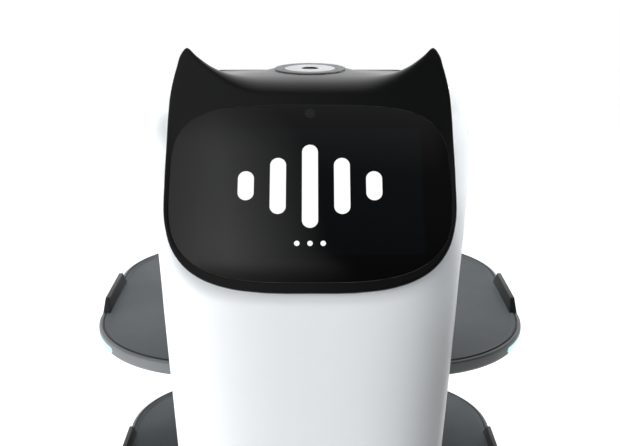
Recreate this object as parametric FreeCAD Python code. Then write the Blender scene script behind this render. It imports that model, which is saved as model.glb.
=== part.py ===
import FreeCAD, Part
import math
import os

# Self-driving serving robot: a wheeled base, a slim column, four cantilevered
# trays behind it and a leaning face with two ears on top. Millimetres.
# +X is the viewer's right when looking at the face, the face looks to -Y and
# +Z is up. The origin is on the floor under the middle of the base.

# ---------------------------------------------------------------- base
BASE_WIDTH = 540.0
BASE_DEPTH = 520.0
BASE_CORNER = 140.0
BUMPER_THICK = 3.0
BUMPER_LOW_Z = 48.0
BUMPER_HEIGHT = 40.0
COVER_WALL = 3.5
COVER_LOW_Z = 34.0
LIDAR_SLOT_Z = 172.0
LIDAR_SLOT_HEIGHT = 26.0
LIDAR_SLOT_REAR_Y = -60.0
DECK_RISE = 46.0
DECK_ROUND_RUN = 60.0
DECK_STEPS = 5
OVERSHOOT = 1.0

# ------------------------------------------------------------- chassis
CHASSIS_Z = 96.0
CHASSIS_THICK = 6.0
WHEEL_SLOT_MARGIN = 14.0

# ------------------------------------------------- drive wheels and arms
TYRE_RADIUS = 84.0
TYRE_WIDTH = 40.0
TYRE_DEPTH = 22.0
WHEEL_INSET = 68.0
HUB_SIDE_INSET = 2.0
AXLE_RADIUS = 10.0
RUNNING_CLEARANCE = 0.05
ARM_THICK = 8.0
ARM_HALF_WIDTH = 18.0
ARM_TO_HUB_GAP = 2.0
ARM_BOSS_LENGTH = 14.0
PIVOT_BEHIND_AXLE = 118.0
PIVOT_ABOVE_AXLE = 56.0
PIVOT_PIN_RADIUS = 6.0
LUG_THICK = 8.0
LUG_GAP = 2.0
LUG_HALF_DEPTH = 14.0
LUG_ROOF = 16.0
SPRING_BEHIND_AXLE = 55.0
SPRING_RADIUS = 12.0
SPRING_WIRE_RADIUS = 2.0
SPRING_LENGTH = 46.0
SPRING_TURNS = 5
SEAT_HALF = 15.0
SEAT_THICK = 4.0
SEAT_RISE = 18.0
POST_THICK = 10.0

# -------------------------------------------------------------- casters
CASTER_SIDE_INSET = 112.0
CASTER_END_INSET = 92.0
CASTER_RADIUS = 30.0
CASTER_WIDTH = 24.0
CASTER_TRAIL = 22.0
CASTER_AXLE_RADIUS = 4.0
CASTER_SIDE_GAP = 2.0
FORK_CHEEK = 4.0
FORK_CROWN = 6.0
FORK_ROOF_GAP = 3.0
FORK_COLLAR_RADIUS = 16.0
FORK_STEM_RADIUS = 8.0
FORK_NUT_RADIUS = 13.0
FORK_NUT_HEIGHT = 8.0
FORK_END_GAP = 2.0
CASTER_BOSS_RADIUS = 18.0
CASTER_BOSS_RISE = 12.0

# ---------------------------------------------- battery and electronics
BATTERY_HALF_X = 75.0
BATTERY_LOW_Z = 110.0
BATTERY_HEIGHT = 70.0
BATTERY_FRONT_Y = -60.0
BATTERY_PLATE_THICK = 17.0
BATTERY_PLATE_MARGIN = 6.0
BATTERY_PLATE_CLEARANCE = 1.0
BATTERY_GRIP_HALF_X = 40.0
BATTERY_GRIP_HEIGHT = 30.0
BATTERY_GRIP_DEPTH = 13.0
RAIL_WIDTH = 6.0
RAIL_HEIGHT = 14.0
RAIL_CLEARANCE = 0.4
CONTROLLER_SIZE = (110.0, 60.0, 26.0)
CONTROLLER_MID_Y = -110.0
SOCKET_X = 108.0
SOCKET_Z = 140.0
SOCKET_FLANGE_RADIUS = 14.0
SOCKET_FLANGE_THICK = 2.0
SOCKET_BODY_RADIUS = 11.0
SOCKET_BORE_RADIUS = 7.5
SOCKET_BORE_DEPTH = 16.0
SOCKET_LENGTH = 24.0
LIDAR_FRONT_INSET = 40.0
LIDAR_RADIUS = 28.0
LIDAR_BASE_HEIGHT = 60.0
LIDAR_ROTOR_HEIGHT = 34.0
LIDAR_SHAFT_RADIUS = 6.0
LIDAR_SHAFT_LENGTH = 10.0
LIDAR_ROTOR_GAP = 2.0

# --------------------------------------------------------------- column
NECK_Z = 1052.0
COLUMN_TOP_HALF = 145.5
COLUMN_TAPER = 0.047
COLUMN_FRONT_TOP_Y = -228.0
COLUMN_FRONT_FOOT_Y = -214.0
COLUMN_REAR_Y = -147.0
COLUMN_FRONT_ROUND = 42.0
COLUMN_REAR_ROUND = 12.0
COLUMN_WALL = 3.0
REAR_COVER_THICK = 4.0
FRAME_HALF_X = 45.0
FRAME_FRONT_Y = -186.0
FRAME_REAR_Y = -158.0
FRAME_WALL = 3.0
FRAME_PAST_NECK = 28.0
FRAME_FOOT_HALF_X = 70.0
FRAME_FOOT_THICK = 6.0
FRAME_DECK_CLEARANCE = 1.0
SCREW_RADIUS = 2.0
SCREW_HOLE_CLEARANCE = 0.2
SCREW_HEAD_RADIUS = 3.8
SCREW_HEAD_HEIGHT = 2.6
SCREW_HALF_SPACING = 30.0
SCREW_ABOVE_TOP_TRAY = 50.0
CAMERA_Z = 352.0
CAMERA_HALF_X = 52.0
CAMERA_HALF_Z = 15.0
CAMERA_WINDOW_CORNER = 10.0

# ---------------------------------------------------------------- trays
TRAY_COUNT = 4
TRAY_WIDTH = 497.0
TRAY_DEPTH = 392.0
TRAY_CORNER = 132.0
TRAY_FRONT_GAP = 3.5
TOP_TRAY_BELOW_NECK = 84.0
LOW_TRAY_RIM_Z = 302.0
CARRIER_HEIGHT = 16.0
CARRIER_FLOOR = 4.0
CARRIER_WALL = 4.0
LINER_GROOVE = 0.6
LINER_WALL = 7.4
LINER_FLOOR = 3.0
LINER_PROUD = 1.5
MAT_THICK = 2.5
MAT_GAP = 1.0
ARM_PLATE_HALF_X = 70.0
ARM_PLATE_THICK = 12.0
ARM_PLATE_REACH = 190.0
ARM_SLOT_CLEARANCE = 1.0
GRIP_LENGTH = 104.0
GRIP_MID_Y = 44.0
GRIP_EDGE_INSET = 1.0
GRIP_THICK = 9.0
GRIP_TOP_THICK = 5.0
GRIP_INNER_SLOPE = 1.0
GRIP_RISE = 18.0
GRIP_FRONT_SLOPE = 5.0
GRIP_REAR_SLOPE = 17.0
GRIP_GAP = 0.5
LIGHT_DEPTH = 2.0
LIGHT_HEIGHT = 7.0
LIGHT_ABOVE_FLOOR = 4.0
LIGHT_FIRST_DEG = -39.0
LIGHT_SPAN_DEG = 44.0

# ----------------------------------------------------------------- head
FACE_LEAN_DEG = 37.0
FACE_Y = -168.4
FACE_ABOVE_NECK = 114.9
HOOD_HALF = 141.3
HOOD_WIDEST_T = 12.0
HOOD_CHIN_T = -102.4
HOOD_CHIN_POWER = 3.27
HOOD_SIDE_TOP_T = 80.0
HOOD_BROW_T = 109.0
HOOD_DEPTH = 26.0
HOOD_WALL = 4.0
# inset from the hood's side and height above the face's middle
EAR_OUTER = ((3.0, 120.0), (9.8, 147.8))
EAR_TIP = (16.0, 155.0)
EAR_INNER = ((25.5, 146.7), (39.7, 135.4), (56.6, 126.4), (81.0, 118.0), (111.3, 111.0))
EAR_REACH = 130.0
EAR_TOP_BACK_Y = -66.0
EAR_ROOT_BACK_Y = -8.0
CAP_SIDE_INSET = 9.3
CAP_REAR_Y = 40.0
CAP_ABOVE_NECK = 186.0
CAP_THICK = 16.0
CAP_FRONT_SETBACK = 2.0
CAP_FRONT_ROUND = 55.0
CAP_REAR_ROUND = 48.0
CAP_EDGE_RUN = 7.0
CAP_EDGE_DROP = 5.0
GLASS_SIDE_RIM = 5.1
GLASS_TOP_T = 90.7
GLASS_LOW_T = -93.3
GLASS_TOP_POWER = 3.96
GLASS_LOW_POWER = 3.2
GLASS_THICK = 4.0
GLASS_GAP = 0.3
DISPLAY_HALF_S = 114.5
DISPLAY_HALF_T = 74.5
DISPLAY_THICK = 5.0
DISPLAY_GAP = 0.5
FRONT_CAMERA_T = 81.0
FRONT_CAMERA_RADIUS = 5.5
FRONT_CAMERA_DEPTH = 10.0
SHELL_BEHIND_FACE = 22.0
SHELL_WALL = 3.0
SHELL_WEB = 4.0
SHELL_OPEN_HALF_S = 122.0
SHELL_OPEN_HALF_T = 82.0
# height above the neck, half width, rear y and rear corner radius of each
# level cut of the head
HEAD_LEVELS = (
    (33.0, 150.0, -122.0, 18.0),
    (60.0, 156.0, -40.0, 30.0),
    (88.0, 162.0, 22.0, 40.0),
    (133.0, 166.0, 45.0, 46.0),
    (170.0, 161.0, 45.0, 46.0),
    (188.0, 152.5, 42.0, 46.0),
    (196.0, 144.0, 38.0, 46.0),
)
HEAD_FRONT_ROUND = 46.0
OUTLINE_STEPS = 20
TOP_CAMERA_Y = -20.0
PEDESTAL_LOW_RADIUS = 62.0
PEDESTAL_TOP_RADIUS = 40.5
PEDESTAL_RISE = 8.0
TOP_RING_RADIUS = 38.5
TOP_DISC_RADIUS = 27.5
TOP_LENS_RADIUS = 9.25
TOP_RING_THICK = 4.0
TOP_LENS_LENGTH = 22.0
TOP_LENS_SUNK = 1.5
TOP_WEB_HOLE_RADIUS = 20.0
BRACKET_BEHIND_FACE = 40.0
BRACKET_THICK = 4.0
BRACKET_HALF_S = 108.0
BRACKET_TOP_T = 66.0
BRACKET_FOOT_THICK = 6.0
BRACKET_FOOT_REAR_Y = -142.0
COMPUTER_HALF_S = 68.0
COMPUTER_LOW_T = -40.0
COMPUTER_TOP_T = 50.0
COMPUTER_THICK = 30.0
SPEAKER_FIRST_S = 74.0
SPEAKER_WIDTH = 32.0
SPEAKER_HALF_T = 38.0
SPEAKER_THICK = 24.0

# -------------------------------------------------- stop and power buttons
CONTROL_ABOVE_NECK = 138.0
CONTROL_HOLE_DEPTH = 12.0
ESTOP_X = 48.0
ESTOP_COLLAR_RADIUS = 20.0
ESTOP_COLLAR_HEIGHT = 8.0
ESTOP_BODY_RADIUS = 11.0
ESTOP_BODY_LENGTH = 22.0
ESTOP_STEM_RADIUS = 6.0
ESTOP_STEM_LENGTH = 34.0
ESTOP_TRAVEL = 5.0
ESTOP_CAP_GAP = 2.0
ESTOP_CAP_RADIUS = 19.0
ESTOP_CAP_HEIGHT = 15.0
ESTOP_CAP_ROUND = 5.0
ESTOP_NOSE_RADIUS = 4.0
ESTOP_NOSE_LENGTH = 10.0
POWER_X = -48.0
POWER_RADIUS = 8.7
POWER_GAP = 0.3
POWER_LENGTH = 12.0
POWER_PROUD = 3.0

# ------------------------------------------------------ derived positions
COVER_INSET = BUMPER_THICK
COVER_IN_INSET = COVER_INSET + COVER_WALL
DECK_LOW_Z = LIDAR_SLOT_Z + LIDAR_SLOT_HEIGHT
DECK_TOP_Z = DECK_LOW_Z + DECK_RISE
CHASSIS_TOP_Z = CHASSIS_Z + CHASSIS_THICK
HUB_RADIUS = TYRE_RADIUS - TYRE_DEPTH
WHEEL_MID_X = BASE_WIDTH / 2 - WHEEL_INSET
HUB_INNER_X = WHEEL_MID_X - TYRE_WIDTH / 2 + HUB_SIDE_INSET
ARM_OUTER_X = HUB_INNER_X - ARM_TO_HUB_GAP - ARM_BOSS_LENGTH
ARM_INNER_X = ARM_OUTER_X - ARM_THICK
COVER_REAR_Y = BASE_DEPTH / 2 - COVER_INSET
CASTER_X = BASE_WIDTH / 2 - CASTER_SIDE_INSET
CASTER_Y = BASE_DEPTH / 2 - CASTER_END_INSET
LIDAR_Y = LIDAR_FRONT_INSET - BASE_DEPTH / 2
TRAY_FRONT_Y = COLUMN_REAR_Y + TRAY_FRONT_GAP
TOP_TRAY_RIM_Z = NECK_Z - TOP_TRAY_BELOW_NECK
FRAME_TOP_Z = NECK_Z + FRAME_PAST_NECK
FACE_Z = NECK_Z + FACE_ABOVE_NECK
CAP_LOW_Z = NECK_Z + CAP_ABOVE_NECK
CAP_TOP_Z = CAP_LOW_Z + CAP_THICK
CAP_HALF = HOOD_HALF - CAP_SIDE_INSET
CONTROL_Z = NECK_Z + CONTROL_ABOVE_NECK
GLASS_HALF = HOOD_HALF - GLASS_SIDE_RIM
FACE_TAN = math.tan(math.radians(FACE_LEAN_DEG))
FACE_COS = math.cos(math.radians(FACE_LEAN_DEG))
HEAD_REAR_Y = HEAD_LEVELS[3][2]
FACE_PLACE = FreeCAD.Placement(
    FreeCAD.Vector(0, FACE_Y, FACE_Z),
    FreeCAD.Rotation(FreeCAD.Vector(1, 0, 0), 90.0 - FACE_LEAN_DEG),
)


# ------------------------------------------------------- drawing helpers
def vec(x, y, z):
    return FreeCAD.Vector(x, y, z)


def box(x0, x1, y0, y1, z0, z1):
    return Part.makeBox(x1 - x0, y1 - y0, z1 - z0, vec(x0, y0, z0))


def rod(radius, start, end):
    """Round bar from one point to another."""
    return Part.makeCylinder(radius, (end - start).Length, start, end - start)


def mirrored(shape):
    """The same piece on the other side of the robot."""
    return shape.mirror(vec(0, 0, 0), vec(1, 0, 0))


def union(shapes):
    whole = shapes[0]
    for shape in shapes[1:]:
        whole = whole.fuse(shape)
    return whole.removeSplitter()


def arc(centre, radius, first_deg, last_deg):
    """Level arc, counter-clockwise from one angle to the other."""
    circle = Part.Circle(centre, vec(0, 0, 1), radius)
    return Part.Arc(circle, math.radians(first_deg), math.radians(last_deg)).toShape()


def plan_wire(half, front, rear, front_round, rear_round, z):
    """Level outline, symmetric in X, with round front and rear corners."""
    f = front_round
    r = rear_round
    edges = (
        Part.makeLine(vec(-half + f, front, z), vec(half - f, front, z)),
        arc(vec(half - f, front + f, z), f, -90, 0),
        Part.makeLine(vec(half, front + f, z), vec(half, rear - r, z)),
        arc(vec(half - r, rear - r, z), r, 0, 90),
        Part.makeLine(vec(half - r, rear, z), vec(-half + r, rear, z)),
        arc(vec(-half + r, rear - r, z), r, 90, 180),
        Part.makeLine(vec(-half, rear - r, z), vec(-half, front + f, z)),
        arc(vec(-half + f, front + f, z), f, 180, 270),
    )
    return Part.Wire(edges)


def level_rectangle(x0, x1, y0, y1, z):
    corners = [vec(x0, y0, z), vec(x1, y0, z), vec(x1, y1, z), vec(x0, y1, z)]
    return Part.makePolygon(corners + corners[:1])


def prism(wire, height):
    return Part.Face(wire).extrude(vec(0, 0, height))


def loft(wires):
    return Part.makeLoft(wires, True, True)


def side_prism(points, x0, x1):
    """Solid with a polygon of (y, z) points for its side view."""
    corners = [vec(x0, y, z) for y, z in points]
    wire = Part.makePolygon(corners + corners[:1])
    return Part.Face(wire).extrude(vec(x1 - x0, 0, 0))


def on_face(shape):
    """Place a shape drawn with x across, y up the face and z outwards."""
    placed = shape.copy()
    placed.Placement = FACE_PLACE.multiply(placed.Placement)
    return placed


def spline(points):
    curve = Part.BSplineCurve()
    curve.interpolate([vec(x, y, 0) for x, y in points])
    return curve.toShape()


def superellipse(half_s, half_t, power, mid_t, first_deg, last_deg, steps):
    """Points on a squared ellipse between two angles, as (x, y) pairs."""
    points = []
    for i in range(steps + 1):
        angle = math.radians(first_deg + (last_deg - first_deg) * i / steps)
        c = round(math.cos(angle), 12)
        s = round(math.sin(angle), 12)
        x = half_s * math.copysign(abs(c) ** (2 / power), c)
        y = half_t * math.copysign(abs(s) ** (2 / power), s)
        points.append((x, mid_t + y))
    return points


# ------------------------------------------------------------------ base
def base_wire(inset, z):
    half_x = BASE_WIDTH / 2 - inset
    half_y = BASE_DEPTH / 2 - inset
    corner = BASE_CORNER - inset
    return plan_wire(half_x, -half_y, half_y, corner, corner, z)


def base_ring(outer_inset, inner_inset, low_z, high_z):
    outer = prism(base_wire(outer_inset, low_z), high_z - low_z)
    return outer.cut(prism(base_wire(inner_inset, low_z), high_z - low_z))


def deck_solid(wall):
    """The rounded lid of the base, shrunk by a wall thickness."""
    wires = [base_wire(COVER_INSET + wall, DECK_LOW_Z)]
    for i in range(1, DECK_STEPS + 1):
        angle = math.pi / 2 * i / DECK_STEPS
        inset = COVER_INSET + wall + DECK_ROUND_RUN * (1 - math.cos(angle))
        wires.append(base_wire(inset, DECK_LOW_Z + (DECK_RISE - wall) * math.sin(angle)))
    return loft(wires)


def lidar_slot_space():
    return box(
        -BASE_WIDTH, BASE_WIDTH, -BASE_DEPTH, LIDAR_SLOT_REAR_Y, LIDAR_SLOT_Z, DECK_LOW_Z
    )


def battery_plate_space(clearance):
    """The rear opening that the battery's end plate closes."""
    margin = BATTERY_PLATE_MARGIN + clearance
    return box(
        -BATTERY_HALF_X - margin,
        BATTERY_HALF_X + margin,
        COVER_REAR_Y - BATTERY_PLATE_THICK,
        COVER_REAR_Y,
        BATTERY_LOW_Z - margin,
        BATTERY_LOW_Z + BATTERY_HEIGHT + margin,
    )


def base_cover():
    shell = base_ring(COVER_INSET, COVER_IN_INSET, COVER_LOW_Z, DECK_LOW_Z)
    shell = shell.cut(lidar_slot_space())
    shell = shell.cut(battery_plate_space(BATTERY_PLATE_CLEARANCE))
    hole = rod(
        SOCKET_BODY_RADIUS,
        vec(SOCKET_X, COVER_REAR_Y - 2 * COVER_WALL, SOCKET_Z),
        vec(SOCKET_X, COVER_REAR_Y + COVER_WALL, SOCKET_Z),
    )
    return shell.cut(hole)


def base_deck():
    shell = deck_solid(0).cut(deck_solid(COVER_WALL))
    gap = FRAME_DECK_CLEARANCE
    opening = box(
        -FRAME_HALF_X - gap,
        FRAME_HALF_X + gap,
        FRAME_FRONT_Y - gap,
        FRAME_REAR_Y + gap,
        DECK_LOW_Z,
        DECK_TOP_Z + OVERSHOOT,
    )
    return shell.cut(opening)


def bumper_strip():
    return base_ring(0, BUMPER_THICK, BUMPER_LOW_Z, BUMPER_LOW_Z + BUMPER_HEIGHT)


def lidar_window():
    band = base_ring(COVER_INSET, COVER_IN_INSET, LIDAR_SLOT_Z, DECK_LOW_Z)
    return band.common(lidar_slot_space())


# --------------------------------------------------------------- chassis
def wheel_slot():
    reach = TYRE_RADIUS + WHEEL_SLOT_MARGIN
    return box(
        ARM_INNER_X - LUG_GAP,
        WHEEL_MID_X + TYRE_WIDTH / 2 + WHEEL_SLOT_MARGIN,
        -reach,
        reach,
        CHASSIS_Z,
        CHASSIS_TOP_Z,
    )


def arm_pivot(x):
    return vec(x, PIVOT_BEHIND_AXLE, TYRE_RADIUS + PIVOT_ABOVE_AXLE)


def spring_seat_z():
    """Top of the arm's spring seat."""
    slope = PIVOT_ABOVE_AXLE / PIVOT_BEHIND_AXLE
    return TYRE_RADIUS + slope * SPRING_BEHIND_AXLE + SEAT_RISE + SEAT_THICK


def spring_x():
    return ARM_INNER_X - SEAT_HALF


def pivot_lug(x0):
    pivot = arm_pivot(x0)
    lug = box(
        x0,
        x0 + LUG_THICK,
        pivot.y - LUG_HALF_DEPTH,
        pivot.y + LUG_HALF_DEPTH,
        CHASSIS_TOP_Z,
        pivot.z + LUG_ROOF,
    )
    bore = rod(
        PIVOT_PIN_RADIUS + RUNNING_CLEARANCE, pivot, pivot + vec(LUG_THICK, 0, 0)
    )
    return lug.cut(bore)


def spring_post():
    """Post and top seat that the spring pushes against."""
    seat_z = spring_seat_z() + SPRING_LENGTH
    y0 = SPRING_BEHIND_AXLE - SEAT_HALF
    y1 = SPRING_BEHIND_AXLE + SEAT_HALF
    post_x = spring_x() - SEAT_HALF - LUG_GAP
    post = box(post_x - POST_THICK, post_x, y0, y1, CHASSIS_TOP_Z, seat_z + SEAT_THICK)
    seat = box(post_x, ARM_INNER_X, y0, y1, seat_z, seat_z + SEAT_THICK)
    return post.fuse(seat)


def battery_rail():
    """Rail that the battery's side runs along."""
    x0 = BATTERY_HALF_X + RAIL_CLEARANCE
    rear = COVER_REAR_Y - BATTERY_PLATE_THICK
    return box(
        x0, x0 + RAIL_WIDTH, BATTERY_FRONT_Y, rear, CHASSIS_TOP_Z, BATTERY_LOW_Z + RAIL_HEIGHT
    )


def caster_places():
    return [(x, y) for x in (-CASTER_X, CASTER_X) for y in (-CASTER_Y, CASTER_Y)]


def chassis_plate():
    plate = prism(base_wire(COVER_IN_INSET, CHASSIS_Z), CHASSIS_THICK)
    right = [
        pivot_lug(ARM_INNER_X - LUG_GAP - LUG_THICK),
        pivot_lug(ARM_OUTER_X + LUG_GAP),
        spring_post(),
        battery_rail(),
    ]
    ledge = box(
        -BATTERY_HALF_X,
        BATTERY_HALF_X,
        BATTERY_FRONT_Y,
        COVER_REAR_Y - 2 * BATTERY_PLATE_THICK,
        CHASSIS_TOP_Z,
        BATTERY_LOW_Z - RAIL_CLEARANCE,
    )
    bosses = [
        rod(
            CASTER_BOSS_RADIUS,
            vec(x, y, CHASSIS_TOP_Z),
            vec(x, y, CHASSIS_TOP_Z + CASTER_BOSS_RISE),
        )
        for x, y in caster_places()
    ]
    whole = union([plate, ledge] + right + [mirrored(s) for s in right] + bosses)
    for slot in (wheel_slot(), mirrored(wheel_slot())):
        whole = whole.cut(slot)
    for x, y in caster_places():
        low = vec(x, y, CHASSIS_Z)
        high = vec(x, y, CHASSIS_TOP_Z + CASTER_BOSS_RISE)
        bore = rod(FORK_STEM_RADIUS + RUNNING_CLEARANCE, low, high)
        whole = whole.cut(bore)
    return whole


# ---------------------------------------------------------- drive wheels
def arm_blade():
    """Flat bar with round ends from the axle to the pivot."""
    axle = vec(ARM_INNER_X, 0, TYRE_RADIUS)
    pivot = arm_pivot(ARM_INNER_X)
    along = pivot - axle
    side = vec(0, -along.z, along.y).normalize() * ARM_HALF_WIDTH
    corners = [axle + side, pivot + side, pivot - side, axle - side]
    wire = Part.makePolygon(corners + corners[:1])
    bar = Part.Face(wire).extrude(vec(ARM_THICK, 0, 0))
    ends = [rod(ARM_HALF_WIDTH, p, p + vec(ARM_THICK, 0, 0)) for p in (axle, pivot)]
    return union([bar] + ends)


def suspension_arm():
    axle_end = WHEEL_MID_X + TYRE_WIDTH / 2 - HUB_SIDE_INSET
    axle_z = TYRE_RADIUS
    boss = rod(
        ARM_HALF_WIDTH,
        vec(ARM_OUTER_X, 0, axle_z),
        vec(ARM_OUTER_X + ARM_BOSS_LENGTH, 0, axle_z),
    )
    axle = rod(AXLE_RADIUS, vec(ARM_OUTER_X, 0, axle_z), vec(axle_end, 0, axle_z))
    reach = vec(LUG_GAP + LUG_THICK, 0, 0)
    pin = rod(PIVOT_PIN_RADIUS, arm_pivot(ARM_INNER_X) - reach, arm_pivot(ARM_OUTER_X) + reach)
    seat_top = spring_seat_z()
    y0 = SPRING_BEHIND_AXLE - SEAT_HALF
    y1 = SPRING_BEHIND_AXLE + SEAT_HALF
    seat = box(
        spring_x() - SEAT_HALF, ARM_OUTER_X, y0, y1, seat_top - SEAT_THICK, seat_top
    )
    web_low = TYRE_RADIUS + PIVOT_ABOVE_AXLE / PIVOT_BEHIND_AXLE * SPRING_BEHIND_AXLE
    web = box(ARM_INNER_X, ARM_OUTER_X, y0, y1, web_low, seat_top)
    return union([arm_blade(), boss, axle, pin, seat, web])


def suspension_spring():
    """Coil spring between the arm's seat and the post's seat."""
    height = SPRING_LENGTH - 2 * SPRING_WIRE_RADIUS
    path = Part.makeHelix(height / SPRING_TURNS, height, SPRING_RADIUS)
    ring = Part.Circle(vec(SPRING_RADIUS, 0, 0), vec(0, 1, 0), SPRING_WIRE_RADIUS)
    section = Part.Wire([ring.toShape()])
    coil = Part.Wire(path).makePipeShell([section], True, True)
    low = spring_seat_z() + SPRING_WIRE_RADIUS
    coil.translate(vec(spring_x(), SPRING_BEHIND_AXLE, low))
    return coil


def drive_hub():
    outer_x = WHEEL_MID_X + TYRE_WIDTH / 2 - HUB_SIDE_INSET
    inner = vec(HUB_INNER_X, 0, TYRE_RADIUS)
    hub = rod(HUB_RADIUS, inner, vec(outer_x, 0, TYRE_RADIUS))
    return hub.cut(
        rod(AXLE_RADIUS + RUNNING_CLEARANCE, inner, vec(outer_x, 0, TYRE_RADIUS))
    )


def drive_tyre():
    inner = vec(WHEEL_MID_X - TYRE_WIDTH / 2, 0, TYRE_RADIUS)
    outer = vec(WHEEL_MID_X + TYRE_WIDTH / 2, 0, TYRE_RADIUS)
    return rod(TYRE_RADIUS, inner, outer).cut(rod(HUB_RADIUS, inner, outer))


# --------------------------------------------------------------- casters
def caster_fork(x, y):
    half = CASTER_WIDTH / 2 + CASTER_SIDE_GAP
    outer = half + FORK_CHEEK
    crown_low = 2 * CASTER_RADIUS + FORK_ROOF_GAP
    crown_top = crown_low + FORK_CROWN
    rear = y + CASTER_TRAIL + FORK_COLLAR_RADIUS / 2
    crown = box(x - outer, x + outer, y - FORK_COLLAR_RADIUS, rear, crown_low, crown_top)
    axle = vec(x, y + CASTER_TRAIL, CASTER_RADIUS)
    foot = 2 * CASTER_AXLE_RADIUS
    side_view = (
        (y - FORK_COLLAR_RADIUS, crown_top),
        (rear, crown_top),
        (axle.y + foot, axle.z - foot),
        (axle.y - foot, axle.z - foot),
        (y - FORK_COLLAR_RADIUS, crown_low - FORK_CROWN),
    )
    cheeks = [
        side_prism(side_view, x - outer, x - half),
        side_prism(side_view, x + half, x + outer),
    ]
    pin = rod(CASTER_AXLE_RADIUS, axle - vec(outer, 0, 0), axle + vec(outer, 0, 0))
    collar = rod(FORK_COLLAR_RADIUS, vec(x, y, crown_low), vec(x, y, CHASSIS_Z - FORK_END_GAP))
    nut_low = CHASSIS_TOP_Z + CASTER_BOSS_RISE + FORK_END_GAP
    nut_top = nut_low + FORK_NUT_HEIGHT
    stem = rod(FORK_STEM_RADIUS, vec(x, y, crown_low), vec(x, y, nut_top))
    nut = rod(FORK_NUT_RADIUS, vec(x, y, nut_low), vec(x, y, nut_top))
    return union([crown] + cheeks + [pin, collar, stem, nut])


def caster_wheel(x, y):
    middle = vec(x, y + CASTER_TRAIL, CASTER_RADIUS)
    half = vec(CASTER_WIDTH / 2, 0, 0)
    wheel = rod(CASTER_RADIUS, middle - half, middle + half)
    wheel = wheel.makeFillet(FORK_CHEEK, [wheel.Edges[0], wheel.Edges[2]])
    return wheel.cut(rod(CASTER_AXLE_RADIUS + RUNNING_CLEARANCE, middle - half, middle + half))


# -------------------------------------------------- battery, electronics
def battery_pack():
    plate = battery_plate_space(0)
    plate_front = COVER_REAR_Y - BATTERY_PLATE_THICK
    block = box(
        -BATTERY_HALF_X,
        BATTERY_HALF_X,
        BATTERY_FRONT_Y,
        plate_front,
        BATTERY_LOW_Z,
        BATTERY_LOW_Z + BATTERY_HEIGHT,
    )
    grip_mid = BATTERY_LOW_Z + BATTERY_HEIGHT / 2
    grip = box(
        -BATTERY_GRIP_HALF_X,
        BATTERY_GRIP_HALF_X,
        COVER_REAR_Y - BATTERY_GRIP_DEPTH,
        COVER_REAR_Y,
        grip_mid - BATTERY_GRIP_HEIGHT / 2,
        grip_mid + BATTERY_GRIP_HEIGHT / 2,
    )
    return union([block, plate]).cut(grip)


def drive_controller():
    x, y, z = CONTROLLER_SIZE
    return box(
        -x / 2,
        x / 2,
        CONTROLLER_MID_Y - y / 2,
        CONTROLLER_MID_Y + y / 2,
        CHASSIS_TOP_Z,
        CHASSIS_TOP_Z + z,
    )


def charge_socket():
    outer_y = COVER_REAR_Y + SOCKET_FLANGE_THICK
    face = vec(SOCKET_X, outer_y, SOCKET_Z)
    flange = rod(SOCKET_FLANGE_RADIUS, face, face - vec(0, SOCKET_FLANGE_THICK, 0))
    body = rod(SOCKET_BODY_RADIUS, face, face - vec(0, SOCKET_LENGTH, 0))
    bore = rod(SOCKET_BORE_RADIUS, face, face - vec(0, SOCKET_BORE_DEPTH, 0))
    return union([flange, body]).cut(bore)


def lidar_base():
    foot = vec(0, LIDAR_Y, CHASSIS_TOP_Z)
    top = foot + vec(0, 0, LIDAR_BASE_HEIGHT)
    shaft = rod(LIDAR_SHAFT_RADIUS, top, top + vec(0, 0, LIDAR_SHAFT_LENGTH))
    return union([rod(LIDAR_RADIUS, foot, top), shaft])


def lidar_rotor():
    low = vec(0, LIDAR_Y, CHASSIS_TOP_Z + LIDAR_BASE_HEIGHT + LIDAR_ROTOR_GAP)
    body = rod(LIDAR_RADIUS, low, low + vec(0, 0, LIDAR_ROTOR_HEIGHT))
    bore_top = low + vec(0, 0, LIDAR_SHAFT_LENGTH)
    return body.cut(rod(LIDAR_SHAFT_RADIUS + RUNNING_CLEARANCE, low, bore_top))


# ---------------------------------------------------------------- column
def column_half(z):
    return COLUMN_TOP_HALF - COLUMN_TAPER * (NECK_Z - z)


def column_front(z):
    share = (z - DECK_LOW_Z) / (NECK_Z - DECK_LOW_Z)
    return COLUMN_FRONT_FOOT_Y + (COLUMN_FRONT_TOP_Y - COLUMN_FRONT_FOOT_Y) * share


def column_wire(z, wall):
    return plan_wire(
        column_half(z) - wall,
        column_front(z) + wall,
        COLUMN_REAR_Y - min(wall, 1) * REAR_COVER_THICK,
        COLUMN_FRONT_ROUND - wall,
        COLUMN_REAR_ROUND - wall,
        z,
    )


def column_shell():
    """The whole hollow column skin, standing on the rounded deck."""
    levels = (DECK_LOW_Z, NECK_Z)
    outer = loft([column_wire(z, 0) for z in levels])
    inner = loft([column_wire(z, COLUMN_WALL) for z in levels])
    return outer.cut(inner).cut(deck_solid(0)).removeSplitter()


def rear_cover_space():
    return box(
        -BASE_WIDTH, BASE_WIDTH, COLUMN_REAR_Y - REAR_COVER_THICK, COLUMN_REAR_Y, 0, NECK_Z
    )


def camera_opening(depth_front, depth_rear):
    """Rounded window space in the column's front."""
    half_x = CAMERA_HALF_X
    half_z = CAMERA_HALF_Z
    wire = plan_wire(half_x, -half_z, half_z, CAMERA_WINDOW_CORNER, CAMERA_WINDOW_CORNER, 0)
    plug = prism(wire, depth_rear - depth_front)
    plug.rotate(vec(0, 0, 0), vec(1, 0, 0), -90)
    plug.translate(vec(0, depth_front, CAMERA_Z))
    return plug


def column_front_shell():
    shell = column_shell().cut(rear_cover_space())
    front = column_front(CAMERA_Z)
    return shell.cut(camera_opening(front - COLUMN_WALL, front + 2 * COLUMN_WALL))


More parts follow.
